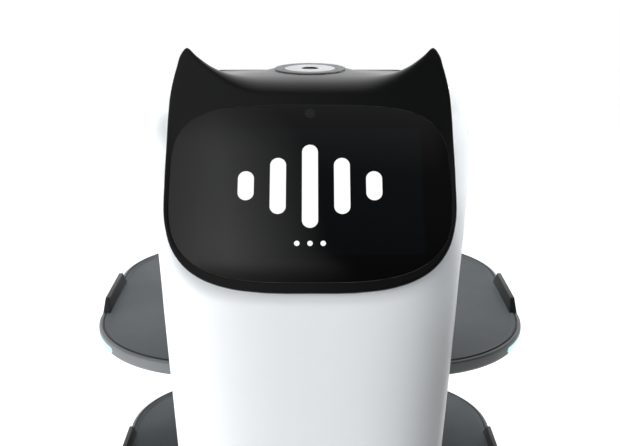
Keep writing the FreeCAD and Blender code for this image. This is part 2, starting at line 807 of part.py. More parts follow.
def screw_places():
    """Screws sit above the top tray and midway between the trays."""
    rims = tray_rims()
    levels = [TOP_TRAY_RIM_Z + SCREW_ABOVE_TOP_TRAY]
    for upper, lower in zip(rims, rims[1:]):
        levels.append((upper + lower) / 2)
    return [(x, z) for z in levels for x in (-SCREW_HALF_SPACING, SCREW_HALF_SPACING)]


def column_rear_cover():
    cover = column_shell().common(rear_cover_space())
    gap = ARM_SLOT_CLEARANCE
    for rim_z in tray_rims():
        top = rim_z - CARRIER_HEIGHT
        cover = cover.cut(
            box(
                -ARM_PLATE_HALF_X - gap,
                ARM_PLATE_HALF_X + gap,
                FRAME_REAR_Y,
                COLUMN_REAR_Y + OVERSHOOT,
                top - ARM_PLATE_THICK - gap,
                top + gap,
            )
        )
    radius = SCREW_RADIUS + SCREW_HOLE_CLEARANCE
    holes = [
        rod(radius, vec(x, FRAME_REAR_Y, z), vec(x, COLUMN_REAR_Y + OVERSHOOT, z))
        for x, z in screw_places()
    ]
    return cover.cut(Part.makeCompound(holes))


def cover_screws():
    screws = []
    for x, z in screw_places():
        seat = vec(x, COLUMN_REAR_Y, z)
        head = rod(SCREW_HEAD_RADIUS, seat, seat + vec(0, SCREW_HEAD_HEIGHT, 0))
        shank = rod(SCREW_RADIUS, vec(x, FRAME_REAR_Y - FRAME_WALL, z), seat)
        screws.append(union([head, shank]))
    return Part.makeCompound(screws)


def column_frame():
    tube = box(
        -FRAME_HALF_X, FRAME_HALF_X, FRAME_FRONT_Y, FRAME_REAR_Y, CHASSIS_TOP_Z, FRAME_TOP_Z
    )
    hollow = box(
        -FRAME_HALF_X + FRAME_WALL,
        FRAME_HALF_X - FRAME_WALL,
        FRAME_FRONT_Y + FRAME_WALL,
        FRAME_REAR_Y - FRAME_WALL,
        CHASSIS_TOP_Z,
        FRAME_TOP_Z,
    )
    foot = box(
        -FRAME_FOOT_HALF_X,
        FRAME_FOOT_HALF_X,
        FRAME_FRONT_Y,
        FRAME_REAR_Y + FRAME_FOOT_THICK,
        CHASSIS_TOP_Z,
        CHASSIS_TOP_Z + FRAME_FOOT_THICK,
    )
    frame = union([tube, foot]).cut(hollow)
    for x, z in screw_places():
        rear = vec(x, FRAME_REAR_Y, z)
        frame = frame.cut(rod(SCREW_RADIUS, rear - vec(0, FRAME_WALL, 0), rear))
    return frame


def depth_camera_window():
    """Dark pane flush in the column's front."""
    front = column_front(CAMERA_Z)
    reach = camera_opening(front - COLUMN_WALL, front + 2 * COLUMN_WALL)
    return column_shell().common(reach)


def depth_camera():
    """Depth camera on the front of the frame, just behind its window."""
    front = column_front(CAMERA_Z - CAMERA_HALF_Z) + 2 * COLUMN_WALL
    return box(
        -CAMERA_HALF_X,
        CAMERA_HALF_X,
        front,
        FRAME_FRONT_Y,
        CAMERA_Z - CAMERA_HALF_Z,
        CAMERA_Z + CAMERA_HALF_Z,
    )


# ----------------------------------------------------------------- trays
def tray_rims():
    pitch = (TOP_TRAY_RIM_Z - LOW_TRAY_RIM_Z) / (TRAY_COUNT - 1)
    return [TOP_TRAY_RIM_Z - pitch * i for i in range(TRAY_COUNT)]


def tray_wire(inset, z):
    rear = TRAY_FRONT_Y + TRAY_DEPTH - inset
    corner = TRAY_CORNER - inset
    return plan_wire(
        TRAY_WIDTH / 2 - inset, TRAY_FRONT_Y + inset, rear, corner, corner, z
    )


def tray_light(rim_z):
    """One light strip let into the right front corner of a tray ring."""
    low = rim_z - CARRIER_HEIGHT + LIGHT_ABOVE_FLOOR
    centre = vec(TRAY_WIDTH / 2 - TRAY_CORNER, TRAY_FRONT_Y + TRAY_CORNER, low)
    outer = Part.makeCylinder(TRAY_CORNER, LIGHT_HEIGHT, centre, vec(0, 0, 1), LIGHT_SPAN_DEG)
    inner = Part.makeCylinder(TRAY_CORNER - LIGHT_DEPTH, LIGHT_HEIGHT, centre, vec(0, 0, 1))
    outer.rotate(centre, vec(0, 0, 1), LIGHT_FIRST_DEG)
    return outer.cut(inner)


def tray_lights():
    strips = []
    for rim_z in tray_rims():
        strips.append(tray_light(rim_z))
        strips.append(mirrored(tray_light(rim_z)))
    return Part.makeCompound(strips)


def tray_carrier(rim_z):
    """Fixed ring and floor of one tray, on its arm from the column frame."""
    low = rim_z - CARRIER_HEIGHT
    pan = prism(tray_wire(0, low), CARRIER_HEIGHT)
    well = prism(tray_wire(CARRIER_WALL, low + CARRIER_FLOOR), CARRIER_HEIGHT)
    arm = box(
        -ARM_PLATE_HALF_X,
        ARM_PLATE_HALF_X,
        FRAME_REAR_Y,
        FRAME_REAR_Y + ARM_PLATE_REACH,
        low - ARM_PLATE_THICK,
        low,
    )
    carrier = union([pan.cut(well), arm])
    for strip in (tray_light(rim_z), mirrored(tray_light(rim_z))):
        carrier = carrier.cut(strip)
    return carrier


def grip_bar(rim_z):
    """Straight tapered hand grip on the right edge of a liner."""
    outer_x = TRAY_WIDTH / 2 - GRIP_EDGE_INSET
    inner_x = outer_x - GRIP_THICK
    first = GRIP_MID_Y - GRIP_LENGTH / 2
    last = GRIP_MID_Y + GRIP_LENGTH / 2
    foot = level_rectangle(inner_x, outer_x, first, last, rim_z + GRIP_GAP)
    top_x = inner_x + GRIP_INNER_SLOPE
    top = level_rectangle(
        top_x,
        top_x + GRIP_TOP_THICK,
        first + GRIP_FRONT_SLOPE,
        last - GRIP_REAR_SLOPE,
        rim_z + GRIP_RISE,
    )
    return loft([foot, top])


def tray_liner(rim_z):
    """Loose tray that drops into its carrier and lifts out by its grips."""
    low = rim_z - CARRIER_HEIGHT + CARRIER_FLOOR
    outer_inset = CARRIER_WALL + LINER_GROOVE
    height = rim_z + LINER_PROUD - low
    dish = prism(tray_wire(outer_inset, low), height)
    well = prism(tray_wire(outer_inset + LINER_WALL, low + LINER_FLOOR), height)
    return union([dish.cut(well), grip_bar(rim_z), mirrored(grip_bar(rim_z))])


def tray_mat(rim_z):
    low = rim_z - CARRIER_HEIGHT + CARRIER_FLOOR + LINER_FLOOR
    inset = CARRIER_WALL + LINER_GROOVE + LINER_WALL + MAT_GAP
    return prism(tray_wire(inset, low), MAT_THICK)


# ------------------------------------------------------------------ head
def face_y(z, behind):
    """Y of the plane that lies a given distance behind the face, at height z."""
    return FACE_Y + (z - FACE_Z) * FACE_TAN + behind / FACE_COS


def hood_wire():
    """Front view of the mask with its two ears, on the face plane."""
    drop = HOOD_WIDEST_T - HOOD_CHIN_T
    lower = superellipse(HOOD_HALF, drop, HOOD_CHIN_POWER, HOOD_WIDEST_T, -180, 0, OUTLINE_STEPS)
    side_top = (HOOD_HALF, HOOD_SIDE_TOP_T)
    outer = [side_top] + [(HOOD_HALF - inset, t) for inset, t in EAR_OUTER]
    tip = vec(HOOD_HALF - EAR_TIP[0], EAR_TIP[1], 0)
    inner = [(HOOD_HALF - inset, t) for inset, t in EAR_INNER] + [(0.0, HOOD_BROW_T)]
    flip = [(-x, y) for x, y in inner[:-1]]
    brow = spline(inner + list(reversed(flip)))
    edges = [spline(lower)]
    edges.append(Part.makeLine(vec(*lower[-1], 0), vec(*side_top, 0)))
    edges.append(spline(outer))
    edges.append(Part.Arc(vec(*outer[-1], 0), tip, vec(*inner[0], 0)).toShape())
    edges.append(brow)
    left = [edge.mirror(vec(0, 0, 0), vec(1, 0, 0)) for edge in edges[1:4]]
    return Part.Wire(Part.__sortEdges__(edges + left))


def glass_wire(grow):
    half = GLASS_HALF + grow
    rise = GLASS_TOP_T + grow
    drop = grow - GLASS_LOW_T
    top = superellipse(half, rise, GLASS_TOP_POWER, 0, 0, 180, OUTLINE_STEPS)
    low = superellipse(half, drop, GLASS_LOW_POWER, 0, 180, 360, OUTLINE_STEPS)
    return Part.Wire([spline(top), spline(low)])


def face_block(half_s, low_t, top_t, back_w, front_w):
    return on_face(box(-half_s, half_s, low_t, top_t, back_w, front_w))


def mask_prism(front_w):
    """The mask's outline carried straight back from the face."""
    outline = Part.Face(hood_wire()).extrude(vec(0, 0, HOOD_DEPTH + front_w))
    outline.translate(vec(0, 0, -HOOD_DEPTH))
    return on_face(outline)


def cap_solid(wall):
    """The level top of the hood, shrunk by a wall thickness."""
    top = CAP_TOP_Z - wall
    low = CAP_LOW_Z
    sections = ((low, 0.0), (top - CAP_EDGE_DROP, 0.0), (top, CAP_EDGE_RUN))
    wires = []
    for z, run in sections:
        half = CAP_HALF - wall - run
        front = face_y(z, 0) + wall + CAP_FRONT_SETBACK
        rear = CAP_REAR_Y - wall - run
        wires.append(
            plan_wire(half, front, rear, CAP_FRONT_ROUND - wall, CAP_REAR_ROUND - wall, z)
        )
    return loft(wires)


def ears():
    """Both ears, flush with the mask in front and sloping down behind."""
    tall = Part.Face(hood_wire()).extrude(vec(0, 0, EAR_REACH))
    tall.translate(vec(0, 0, -EAR_REACH))
    tip_z = FACE_Z + EAR_TIP[1] * FACE_COS + OVERSHOOT
    root_z = CAP_TOP_Z - CAP_EDGE_DROP
    side_view = (
        (face_y(CAP_LOW_Z, 0), CAP_LOW_Z),
        (face_y(tip_z, 0), tip_z),
        (EAR_TOP_BACK_Y, tip_z),
        (EAR_ROOT_BACK_Y, root_z),
        (EAR_ROOT_BACK_Y, CAP_LOW_Z),
    )
    return on_face(tall).common(side_prism(side_view, -BASE_WIDTH / 2, BASE_WIDTH / 2))


def hood_envelope():
    """Everything the hood fills, taken as solid."""
    return union([mask_prism(0), cap_solid(0), ears()])


def pedestal():
    foot = vec(0, TOP_CAMERA_Y, CAP_TOP_Z)
    return Part.makeCone(
        PEDESTAL_LOW_RADIUS, PEDESTAL_TOP_RADIUS, PEDESTAL_RISE, foot, vec(0, 0, 1)
    )


def head_hood():
    hood = union([hood_envelope(), pedestal()])
    glass_seat = prism(glass_wire(GLASS_GAP), GLASS_THICK)
    glass_seat.translate(vec(0, 0, -GLASS_THICK))
    hood = hood.cut(on_face(glass_seat))
    gap = DISPLAY_GAP
    hood = hood.cut(
        face_block(
            DISPLAY_HALF_S + gap,
            -DISPLAY_HALF_T - gap,
            DISPLAY_HALF_T + gap,
            -HOOD_DEPTH,
            -GLASS_THICK,
        )
    )
    cavity = prism(glass_wire(-HOOD_WALL), HOOD_DEPTH)
    cavity.translate(vec(0, 0, -HOOD_DEPTH - GLASS_THICK - HOOD_WALL))
    hood = hood.cut(on_face(cavity))
    hood = hood.cut(cap_solid(HOOD_WALL))
    top_z = CAP_TOP_Z + PEDESTAL_RISE
    seat = vec(0, TOP_CAMERA_Y, top_z - TOP_RING_THICK)
    hood = hood.cut(rod(TOP_RING_RADIUS, seat, seat + vec(0, 0, TOP_RING_THICK)))
    lens_low = vec(0, TOP_CAMERA_Y, CAP_LOW_Z)
    hood = hood.cut(rod(TOP_LENS_RADIUS, lens_low, seat))
    eye = on_face(
        rod(FRONT_CAMERA_RADIUS, vec(0, FRONT_CAMERA_T, -HOOD_DEPTH), vec(0, FRONT_CAMERA_T, 0))
    )
    return hood.cut(eye)


def face_glass():
    pane = prism(glass_wire(0), GLASS_THICK)
    pane.translate(vec(0, 0, -GLASS_THICK))
    return on_face(pane)


def face_display():
    back = -GLASS_THICK - DISPLAY_THICK
    return face_block(DISPLAY_HALF_S, -DISPLAY_HALF_T, DISPLAY_HALF_T, back, -GLASS_THICK)


def front_camera():
    front = vec(0, FRONT_CAMERA_T, -GLASS_THICK)
    return on_face(rod(FRONT_CAMERA_RADIUS, front, front - vec(0, 0, FRONT_CAMERA_DEPTH)))


def head_wire(level, wall):
    height, half, rear, rear_round = level
    z = NECK_Z + height
    front = face_y(z, SHELL_BEHIND_FACE)
    return plan_wire(
        half - wall, front + wall, rear - wall, HEAD_FRONT_ROUND - wall, rear_round - wall, z
    )


def head_solid(wall):
    """The pod behind the mask, shrunk by a wall thickness."""
    wires = [column_wire(NECK_Z, wall)]
    wires.extend(head_wire(level, wall) for level in HEAD_LEVELS)
    return loft(wires)


def head_shell():
    outer = head_solid(0)
    skin = outer.cut(head_solid(SHELL_WALL))
    span = BASE_WIDTH / 2
    front_web = outer.common(
        face_block(span, HOOD_CHIN_T, span, -HOOD_DEPTH - SHELL_WEB, -HOOD_DEPTH)
    )
    front_web = front_web.cut(
        face_block(SHELL_OPEN_HALF_S, -SHELL_OPEN_HALF_T, SHELL_OPEN_HALF_T, -span, 0)
    )
    top_web = outer.common(box(-span, span, -span, span, CAP_LOW_Z - SHELL_WEB, CAP_LOW_Z))
    hole = vec(0, TOP_CAMERA_Y, CAP_LOW_Z - SHELL_WEB)
    top_web = top_web.cut(rod(TOP_WEB_HOLE_RADIUS, hole, hole + vec(0, 0, SHELL_WEB)))
    shell = union([skin, front_web, top_web]).cut(hood_envelope())
    shell = shell.cut(face_block(span, HOOD_BROW_T, 2 * span, -HOOD_DEPTH, span))
    for x, radius in ((ESTOP_X, ESTOP_BODY_RADIUS), (POWER_X, POWER_RADIUS + POWER_GAP)):
        rear = vec(x, HEAD_REAR_Y, CONTROL_Z)
        hole_end = rear + vec(0, OVERSHOOT, 0)
        shell = shell.cut(rod(radius, rear - vec(0, CONTROL_HOLE_DEPTH, 0), hole_end))
    return largest_solid(shell)


def largest_solid(shape):
    """The biggest body of a cut shape, without loose slivers."""
    return max(shape.Solids, key=lambda solid: solid.Volume)


def top_camera_ring():
    low = vec(0, TOP_CAMERA_Y, CAP_TOP_Z + PEDESTAL_RISE - TOP_RING_THICK)
    top = low + vec(0, 0, TOP_RING_THICK)
    return rod(TOP_RING_RADIUS, low, top).cut(rod(TOP_DISC_RADIUS, low, top))


def top_camera_disc():
    low = vec(0, TOP_CAMERA_Y, CAP_TOP_Z + PEDESTAL_RISE - TOP_RING_THICK)
    top = low + vec(0, 0, TOP_RING_THICK)
    return rod(TOP_DISC_RADIUS, low, top).cut(rod(TOP_LENS_RADIUS, low, top))


def top_camera_lens():
    top = vec(0, TOP_CAMERA_Y, CAP_TOP_Z + PEDESTAL_RISE - TOP_LENS_SUNK)
    return rod(TOP_LENS_RADIUS, top - vec(0, 0, TOP_LENS_LENGTH), top)


def head_bracket():
    """Plate behind the display, on a foot over the column frame."""
    back = -BRACKET_BEHIND_FACE - BRACKET_THICK
    foot_top = FRAME_TOP_Z + BRACKET_FOOT_THICK
    mid_z = FRAME_TOP_Z + BRACKET_FOOT_THICK / 2
    low_t = (mid_z - FACE_Z - back * math.sin(math.radians(FACE_LEAN_DEG))) / FACE_COS
    plate = face_block(BRACKET_HALF_S, low_t, BRACKET_TOP_T, back, -BRACKET_BEHIND_FACE)
    foot = box(
        -FRAME_FOOT_HALF_X,
        FRAME_FOOT_HALF_X,
        FRAME_FRONT_Y,
        BRACKET_FOOT_REAR_Y,
        FRAME_TOP_Z,
        foot_top,
    )
    return union([plate, foot])


def main_computer():
    front = -BRACKET_BEHIND_FACE - BRACKET_THICK
    return face_block(
        COMPUTER_HALF_S, COMPUTER_LOW_T, COMPUTER_TOP_T, front - COMPUTER_THICK, front
    )


def speakers():
    front = -BRACKET_BEHIND_FACE - BRACKET_THICK
    last = SPEAKER_FIRST_S + SPEAKER_WIDTH
    right = on_face(
        box(
            SPEAKER_FIRST_S, last, -SPEAKER_HALF_T, SPEAKER_HALF_T, front - SPEAKER_THICK, front
        )
    )
    return Part.makeCompound([right, mirrored(right)])


# ------------------------------------------------------ stop and power
def estop_base():
    wall = vec(ESTOP_X, HEAD_REAR_Y, CONTROL_Z)
    collar = rod(ESTOP_COLLAR_RADIUS, wall, wall + vec(0, ESTOP_COLLAR_HEIGHT, 0))
    body = rod(ESTOP_BODY_RADIUS, wall - vec(0, ESTOP_BODY_LENGTH, 0), wall)
    bore = rod(
        ESTOP_STEM_RADIUS + RUNNING_CLEARANCE,
        wall - vec(0, ESTOP_BODY_LENGTH, 0),
        wall + vec(0, ESTOP_COLLAR_HEIGHT, 0),
    )
    return union([collar, body]).cut(bore)


def estop_cap_low():
    """Underside of the mushroom cap, clear of the collar when pushed in."""
    lift = ESTOP_COLLAR_HEIGHT + ESTOP_TRAVEL + ESTOP_CAP_GAP
    return vec(ESTOP_X, HEAD_REAR_Y + lift, CONTROL_Z)


def estop_plunger():
    low = estop_cap_low() - vec(0, RUNNING_CLEARANCE, 0)
    stem = rod(ESTOP_STEM_RADIUS, low - vec(0, ESTOP_STEM_LENGTH, 0), low)
    nose = rod(ESTOP_NOSE_RADIUS, low, low + vec(0, ESTOP_NOSE_LENGTH, 0))
    return union([stem, nose])


def estop_cap():
    low = estop_cap_low()
    cap = rod(ESTOP_CAP_RADIUS, low, low + vec(0, ESTOP_CAP_HEIGHT, 0))
    rims = [edge for edge in cap.Edges if edge.BoundBox.YMin > low.y + OVERSHOOT]
    cap = cap.makeFillet(ESTOP_CAP_ROUND, rims)
    bore_end = low + vec(0, ESTOP_NOSE_LENGTH, 0)
    return cap.cut(rod(ESTOP_NOSE_RADIUS + RUNNING_CLEARANCE, low, bore_end))


def power_button():
    face = vec(POWER_X, HEAD_REAR_Y + POWER_PROUD, CONTROL_Z)
    return rod(POWER_RADIUS, face - vec(0, POWER_LENGTH, 0), face)


# ---------------------------------------------------------------- output
def all_nodes():
    nodes = {
        "chassis_plate": chassis_plate(),
        "base_cover": base_cover(),
        "base_deck": base_deck(),
        "bumper_strip": bumper_strip(),
        "lidar_window": lidar_window(),
        "lidar_base": lidar_base(),
        "lidar_rotor": lidar_rotor(),
        "battery_pack": battery_pack(),
        "drive_controller": drive_controller(),
        "charge_socket": charge_socket(),
        "column_frame": column_frame(),
        "column_front_shell": column_front_shell(),
        "column_rear_cover": column_rear_cover(),
        "cover_screws": cover_screws(),
        "depth_camera": depth_camera(),
        "depth_camera_window": depth_camera_window(),
        "tray_lights": tray_lights(),
        "head_bracket": head_bracket(),
        "main_computer": main_computer(),
        "speakers": speakers(),
        "head_shell": head_shell(),
        "head_hood": head_hood(),
        "face_glass": face_glass(),
        "face_display": face_display(),
        "front_camera": front_camera(),
        "top_camera_ring": top_camera_ring(),
        "top_camera_disc": top_camera_disc(),
        "top_camera_lens": top_camera_lens(),
        "estop_base": estop_base(),
        "estop_plunger": estop_plunger(),
        "estop_cap": estop_cap(),
        "power_button": power_button(),
    }
    paired = {
        "suspension_arm": suspension_arm(),
        "suspension_spring": suspension_spring(),
        "drive_hub": drive_hub(),
        "drive_tyre": drive_tyre(),
    }
    for name, shape in paired.items():
        nodes[name + "_right"] = shape
        nodes[name + "_left"] = mirrored(shape)
    for number, (x, y) in enumerate(caster_places(), start=1):
        nodes["caster_fork_%d" % number] = caster_fork(x, y)
        nodes["caster_wheel_%d" % number] = caster_wheel(x, y)
    for number, rim_z in enumerate(tray_rims(), start=1):
        nodes["tray_carrier_%d" % number] = tray_carrier(rim_z)
        nodes["tray_liner_%d" % number] = tray_liner(rim_z)
        nodes["tray_mat_%d" % number] = tray_mat(rim_z)
    return nodes


def main():
    os.makedirs("parts", exist_ok=True)
    for name, shape in all_nodes().items():
        shape.exportStep("parts/" + name + ".step")


main()
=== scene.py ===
import logging
import math
from collections.abc import Callable, Iterator, Sequence
from contextlib import contextmanager
from dataclasses import dataclass
from enum import Enum, IntEnum, StrEnum, auto
from functools import cache, cached_property
from typing import NamedTuple

import bmesh
import bpy
from mathutils import Matrix, Vector


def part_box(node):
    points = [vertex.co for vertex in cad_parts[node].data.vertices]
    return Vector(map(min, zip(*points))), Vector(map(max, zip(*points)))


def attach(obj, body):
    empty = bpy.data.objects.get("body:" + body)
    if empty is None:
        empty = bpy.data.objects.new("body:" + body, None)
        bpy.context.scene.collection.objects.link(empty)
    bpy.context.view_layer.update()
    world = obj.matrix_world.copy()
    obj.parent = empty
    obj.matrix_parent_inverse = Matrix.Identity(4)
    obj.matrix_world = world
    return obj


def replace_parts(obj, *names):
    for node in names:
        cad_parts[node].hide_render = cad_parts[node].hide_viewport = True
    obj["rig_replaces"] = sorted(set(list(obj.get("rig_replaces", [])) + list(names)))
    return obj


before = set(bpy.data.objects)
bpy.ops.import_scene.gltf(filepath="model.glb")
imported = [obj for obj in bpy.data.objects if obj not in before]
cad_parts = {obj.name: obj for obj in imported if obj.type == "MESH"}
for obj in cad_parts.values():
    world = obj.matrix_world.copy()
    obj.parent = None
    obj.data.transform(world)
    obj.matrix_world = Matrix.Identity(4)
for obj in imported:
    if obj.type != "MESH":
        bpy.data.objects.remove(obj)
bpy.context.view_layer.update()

log = logging.getLogger("serving_robot")
Test = Callable[[Vector, Vector], bool]
Numbers = tuple[float, ...]
Stops = tuple[tuple[float, float], ...]
Socket = bpy.types.NodeSocket
Inputs = dict[str | int, object]

NEAR = 1e-5  # how far from a level a corner may be and still lie on it
ALONG, ACROSS = 0.9, 0.1  # share of an axis from which a direction runs along it, and below which across it
PAST = 0.01  # how far a cutting tool reaches past what it cuts
PLAN_STEPS = 28  # faces round a corner that is rounded in plan
TRAY_COUNT = 4
TRAY_HEIGHT = 0.016


class Slot(StrEnum):
    """Material slots of the record."""

    WHITE_GLOSS = auto()
    BLACK_GLOSS = auto()
    FACE_GLASS = auto()
    DISPLAY = auto()
    RING_GREY = auto()
    DISC_GREY = auto()
    LENS_DARK = auto()
    CARRIER_GREY = auto()
    LINER_BLACK = auto()
    MAT_GREY = auto()
    LIGHT_CYAN = auto()
    METAL_PLATE = auto()
    METAL_DARK = auto()
    SPRING_STEEL = auto()
    HOUSING_BLACK = auto()
    RUBBER_BLACK = auto()
    HUB_GREY = auto()
    STOP_RED = auto()
    BUTTON_WHITE = auto()
    TINTED_WINDOW = auto()


class Side(Enum):
    """Which side of the robot a piece is on, seen from the front."""

    LEFT = -1.0
    RIGHT = 1.0


class Pick(Enum):
    """What an edit step works on."""

    FACES = "FACE"
    EDGES = "EDGE"
    CORNERS = "VERT"


class Axis(IntEnum):
    """Axes of the robot's frame: right, back and up."""

    X = 0
    Y = 1
    Z = 2


# ---------------------------------------------------------------- finishes
def linear(hex_colour: str, gain: float = 1.0) -> Numbers:
    """Turn a written colour into the numbers that shaders take.

    Args:
        hex_colour: Six digits, such as "d5d8da".
        gain: How much brighter it is made.

    Returns:
        Linear red, green and blue, and an alpha of 1.
    """
    parts = [int(hex_colour[i : i + 2], 16) / 255.0 for i in (0, 2, 4)]
    bent = [p / 12.92 if p <= 0.04045 else ((p + 0.055) / 1.055) ** 2.4 for p in parts]
    return (*(min(1.0, p * gain) for p in bent), 1.0)


class NodeBench:
    """A node tree while it is being put together."""

    def __init__(self, tree: bpy.types.NodeTree) -> None:
        """Start from an empty tree."""
        self.tree = tree
        tree.nodes.clear()

    def wire(self, node: bpy.types.Node, inputs: Inputs) -> bpy.types.Node:
        """Set or link a node's inputs.

        Args:
            node: The node.
            inputs: A value or another node's output for each input.

        Returns:
            The node.
        """
        for key, value in inputs.items():
            if isinstance(value, Socket):
                self.tree.links.new(value, node.inputs[key])
            else:
                node.inputs[key].default_value = value
        return node

    def add(self, kind: str, inputs: Inputs, **settings: object) -> bpy.types.Node:
        """Add a node.

        Args:
            kind: Its type, such as "Math".
            inputs: What goes into it.
            **settings: Its own settings, such as operation.

        Returns:
            The node.
        """
        node = self.tree.nodes.new("ShaderNode" + kind)
        for key, value in settings.items():
            setattr(node, key, value)
        return self.wire(node, inputs)

    def sum_of(self, kind: str, *values: Socket | float) -> Socket:
        """Work out one sum, such as "ADD"."""
        return self.add("Math", dict(enumerate(values)), operation=kind).outputs[0]

    def seen(self, *others: str) -> Socket:
        """Give 1 where a surface is looked at straight, or by one of the other named rays.

        Args:
            *others: Rays of the light path, such as "Is Glossy Ray".

        Returns:
            The share.
        """
        path = self.add("LightPath", {})
        share = path.outputs["Is Camera Ray"]
        for ray in others:
            share = self.sum_of("MAXIMUM", share, path.outputs[ray])
        return share

    def ramp(self, value: Socket, stops: Stops) -> Socket:
        """Turn a share into a level.

        Args:
            value: The share, from 0 to 1.
            stops: Places and the level at each.

        Returns:
            The level.
        """
        node = self.add("ValToRGB", {0: value})
        points = node.color_ramp.elements
        while len(points) < len(stops):
            points.new(0.5)
        for point, (at, level) in zip(points, stops):
            point.position, point.color = at, (level, level, level, 1.0)
        return node.outputs[0]


class ShaderBench(NodeBench):
    """The nodes of one surface material."""

    def __init__(self, name: str) -> None:
        """Start a material with a plain surface.

        Args:
            name: Name of the material.
        """
        self.material = bpy.data.materials.new(name)
        self.material.use_nodes = True
        super().__init__(self.material.node_tree)
        self.surface = self.add("BsdfPrincipled", {})
        self.add("OutputMaterial", {"Surface": self.surface.outputs[0]})
        self.place = self.add("TexCoord", {}).outputs["Object"]

    def noise(self, size: float, detail: float = 4.0, stretch: Numbers = (1.0, 1.0, 1.0)) -> Socket:
        """Add a noise pattern in object space.

        Args:
            size: Width of one blotch in metres.
            detail: How many finer layers it has.
            stretch: How much tighter the pattern is along each axis.

        Returns:
            The pattern.
        """
        at = self.add("Mapping", {"Vector": self.place, "Scale": stretch}).outputs[0]
        return self.add("TexNoise", {"Vector": at, "Scale": 1.0 / size, "Detail": detail}).outputs["Fac"]

    def spread(
        self, pattern: Socket, low: float, high: float, start: float = 0.3, end: float = 0.7, **settings: object
    ) -> Socket:
        """Stretch a range of a pattern to run from one value to another.

        Args:
            pattern: The pattern.
            low: Value at the start of the range.
            high: Value at its end.
            start: Where the range starts.
            end: Where it ends.
            **settings: Settings of the node.

        Returns:
            The stretched pattern.
        """
        return self.add("MapRange", dict(enumerate((pattern, start, end, low, high))), **settings).outputs[0]

    def tint(self, factor: Socket, dark: Numbers, light: Numbers) -> Socket:
        """Mix two colours by a pattern."""
        return self.add("Mix", {0: factor, 6: dark, 7: light}, data_type="RGBA").outputs[2]


@dataclass(frozen=True)
class Finish:
    """A moulded or painted finish with faint blotches, haze and grain."""

    slot: Slot
    colour: str
    roughness: float
    haze: float = 0.03
    metallic: float = 0.0
    coat: float = 0.0
    coat_roughness: float = 0.05
    ior: float = 1.5
    mottle: float = 0.05
    mottle_size: float = 0.06
    grain: float = 0.15
    grain_size: float = 0.0009
    grain_depth: float = 0.00003
    suffix: str = ""

    @cached_property
    def material(self) -> bpy.types.Material:
        """The material, made when it is first asked for."""
        bench = ShaderBench("finish_" + self.slot.value + self.suffix)
        blotches = bench.noise(self.mottle_size * 0.4, 3.0)
        inputs = {
            "Metallic": self.metallic,
            "IOR": self.ior,
            "Coat Weight": self.coat,
            "Coat Roughness": self.coat_roughness,
            "Roughness": bench.spread(blotches, self.roughness - self.haze, self.roughness + self.haze),
        }
        if self.grain > 0.0:
            relief = {"Strength": self.grain, "Distance": self.grain_depth, "Height": bench.noise(self.grain_size, 2.0)}
            inputs["Normal"] = bench.add("Bump", relief).outputs[0]
        bench.wire(bench.surface, inputs | self.paint(bench))
        return bench.material

    def paint(self, bench: ShaderBench) -> Inputs:
        """Colour the surface with a faint blotchy change of tone.

        Args:
            bench: The material's nodes.

        Returns:
            Inputs of the surface.
        """
        tone = bench.spread(bench.noise(self.mottle_size), 0.0, 1.0)
        dark, light = linear(self.colour, 1.0 - self.mottle), linear(self.colour, 1.0 + self.mottle)
        return {"Base Color": bench.tint(tone, dark, light)}


@dataclass(frozen=True)
class BrushedFinish(Finish):
    """Metal with fine lines along one axis."""

    along: Numbers = (0.04, 1.0, 1.0)
    line: float = 0.0012

    def paint(self, bench: ShaderBench) -> Inputs:
        """Colour the metal with fine lighter and darker lines."""
        lines = bench.spread(bench.noise(self.line, 5.0, self.along), 0.0, 1.0)
        return {"Base Color": bench.tint(lines, linear(self.colour, 1.0 - 3.0 * self.mottle), linear(self.colour))}


@dataclass(frozen=True)
class GlowFinish(Finish):
    """A lit light guide or a lit mark on the display."""

    soft_core: float = 0.08
    glow: float = 1.0
    unlit: Numbers = (0.02, 0.02, 0.02, 1.0)

    def paint(self, bench: ShaderBench) -> Inputs:
        """Light the surface, a touch brighter in places where it has a soft core.

        Args:
            bench: The material's nodes.

        Returns:
            Inputs of the surface.
        """
        lit = linear(self.colour)
        if self.soft_core:
            tone = bench.spread(bench.noise(0.012, 2.0), 0.0, 1.0)
            lit = bench.tint(tone, linear(self.colour, 1.0 - self.soft_core), lit)
        return {"Emission Color": lit, "Emission Strength": self.glow, "Base Color": self.unlit}


@dataclass(frozen=True)
class PanelGlassFinish(Finish):
    """Dark face glass, a little lighter and bluer over the lit panel behind it."""

    panel_colour: str = "080a0c"
    half_s: float = 0.1085
    low_t: float = -0.066
    high_t: float = 0.0647
    lean_deg: float = 37.0
    origin: Numbers = (0.0, -0.1684, 1.1669)

    def paint(self, bench: ShaderBench) -> Inputs:
        """Mark the panel's rectangle in the glass colour.

        Args:
            bench: The material's nodes.

        Returns:
            Inputs of the surface.
        """
        turn = (math.radians(90.0 - self.lean_deg), 0.0, 0.0)
        inputs = {"Vector": bench.place, "Location": self.origin, "Rotation": turn}
        at = bench.add("Mapping", inputs, vector_type="TEXTURE").outputs[0]
        s, t, _ = bench.add("SeparateXYZ", {0: at}).outputs
        inside = bench.sum_of("LESS_THAN", bench.sum_of("ABSOLUTE", s), self.half_s)
        for kind, edge in (("GREATER_THAN", self.low_t), ("LESS_THAN", self.high_t)):
            inside = bench.sum_of("MULTIPLY", inside, bench.sum_of(kind, t, edge))
        return {"Base Color": bench.tint(inside, linear(self.colour), linear(self.panel_colour))}


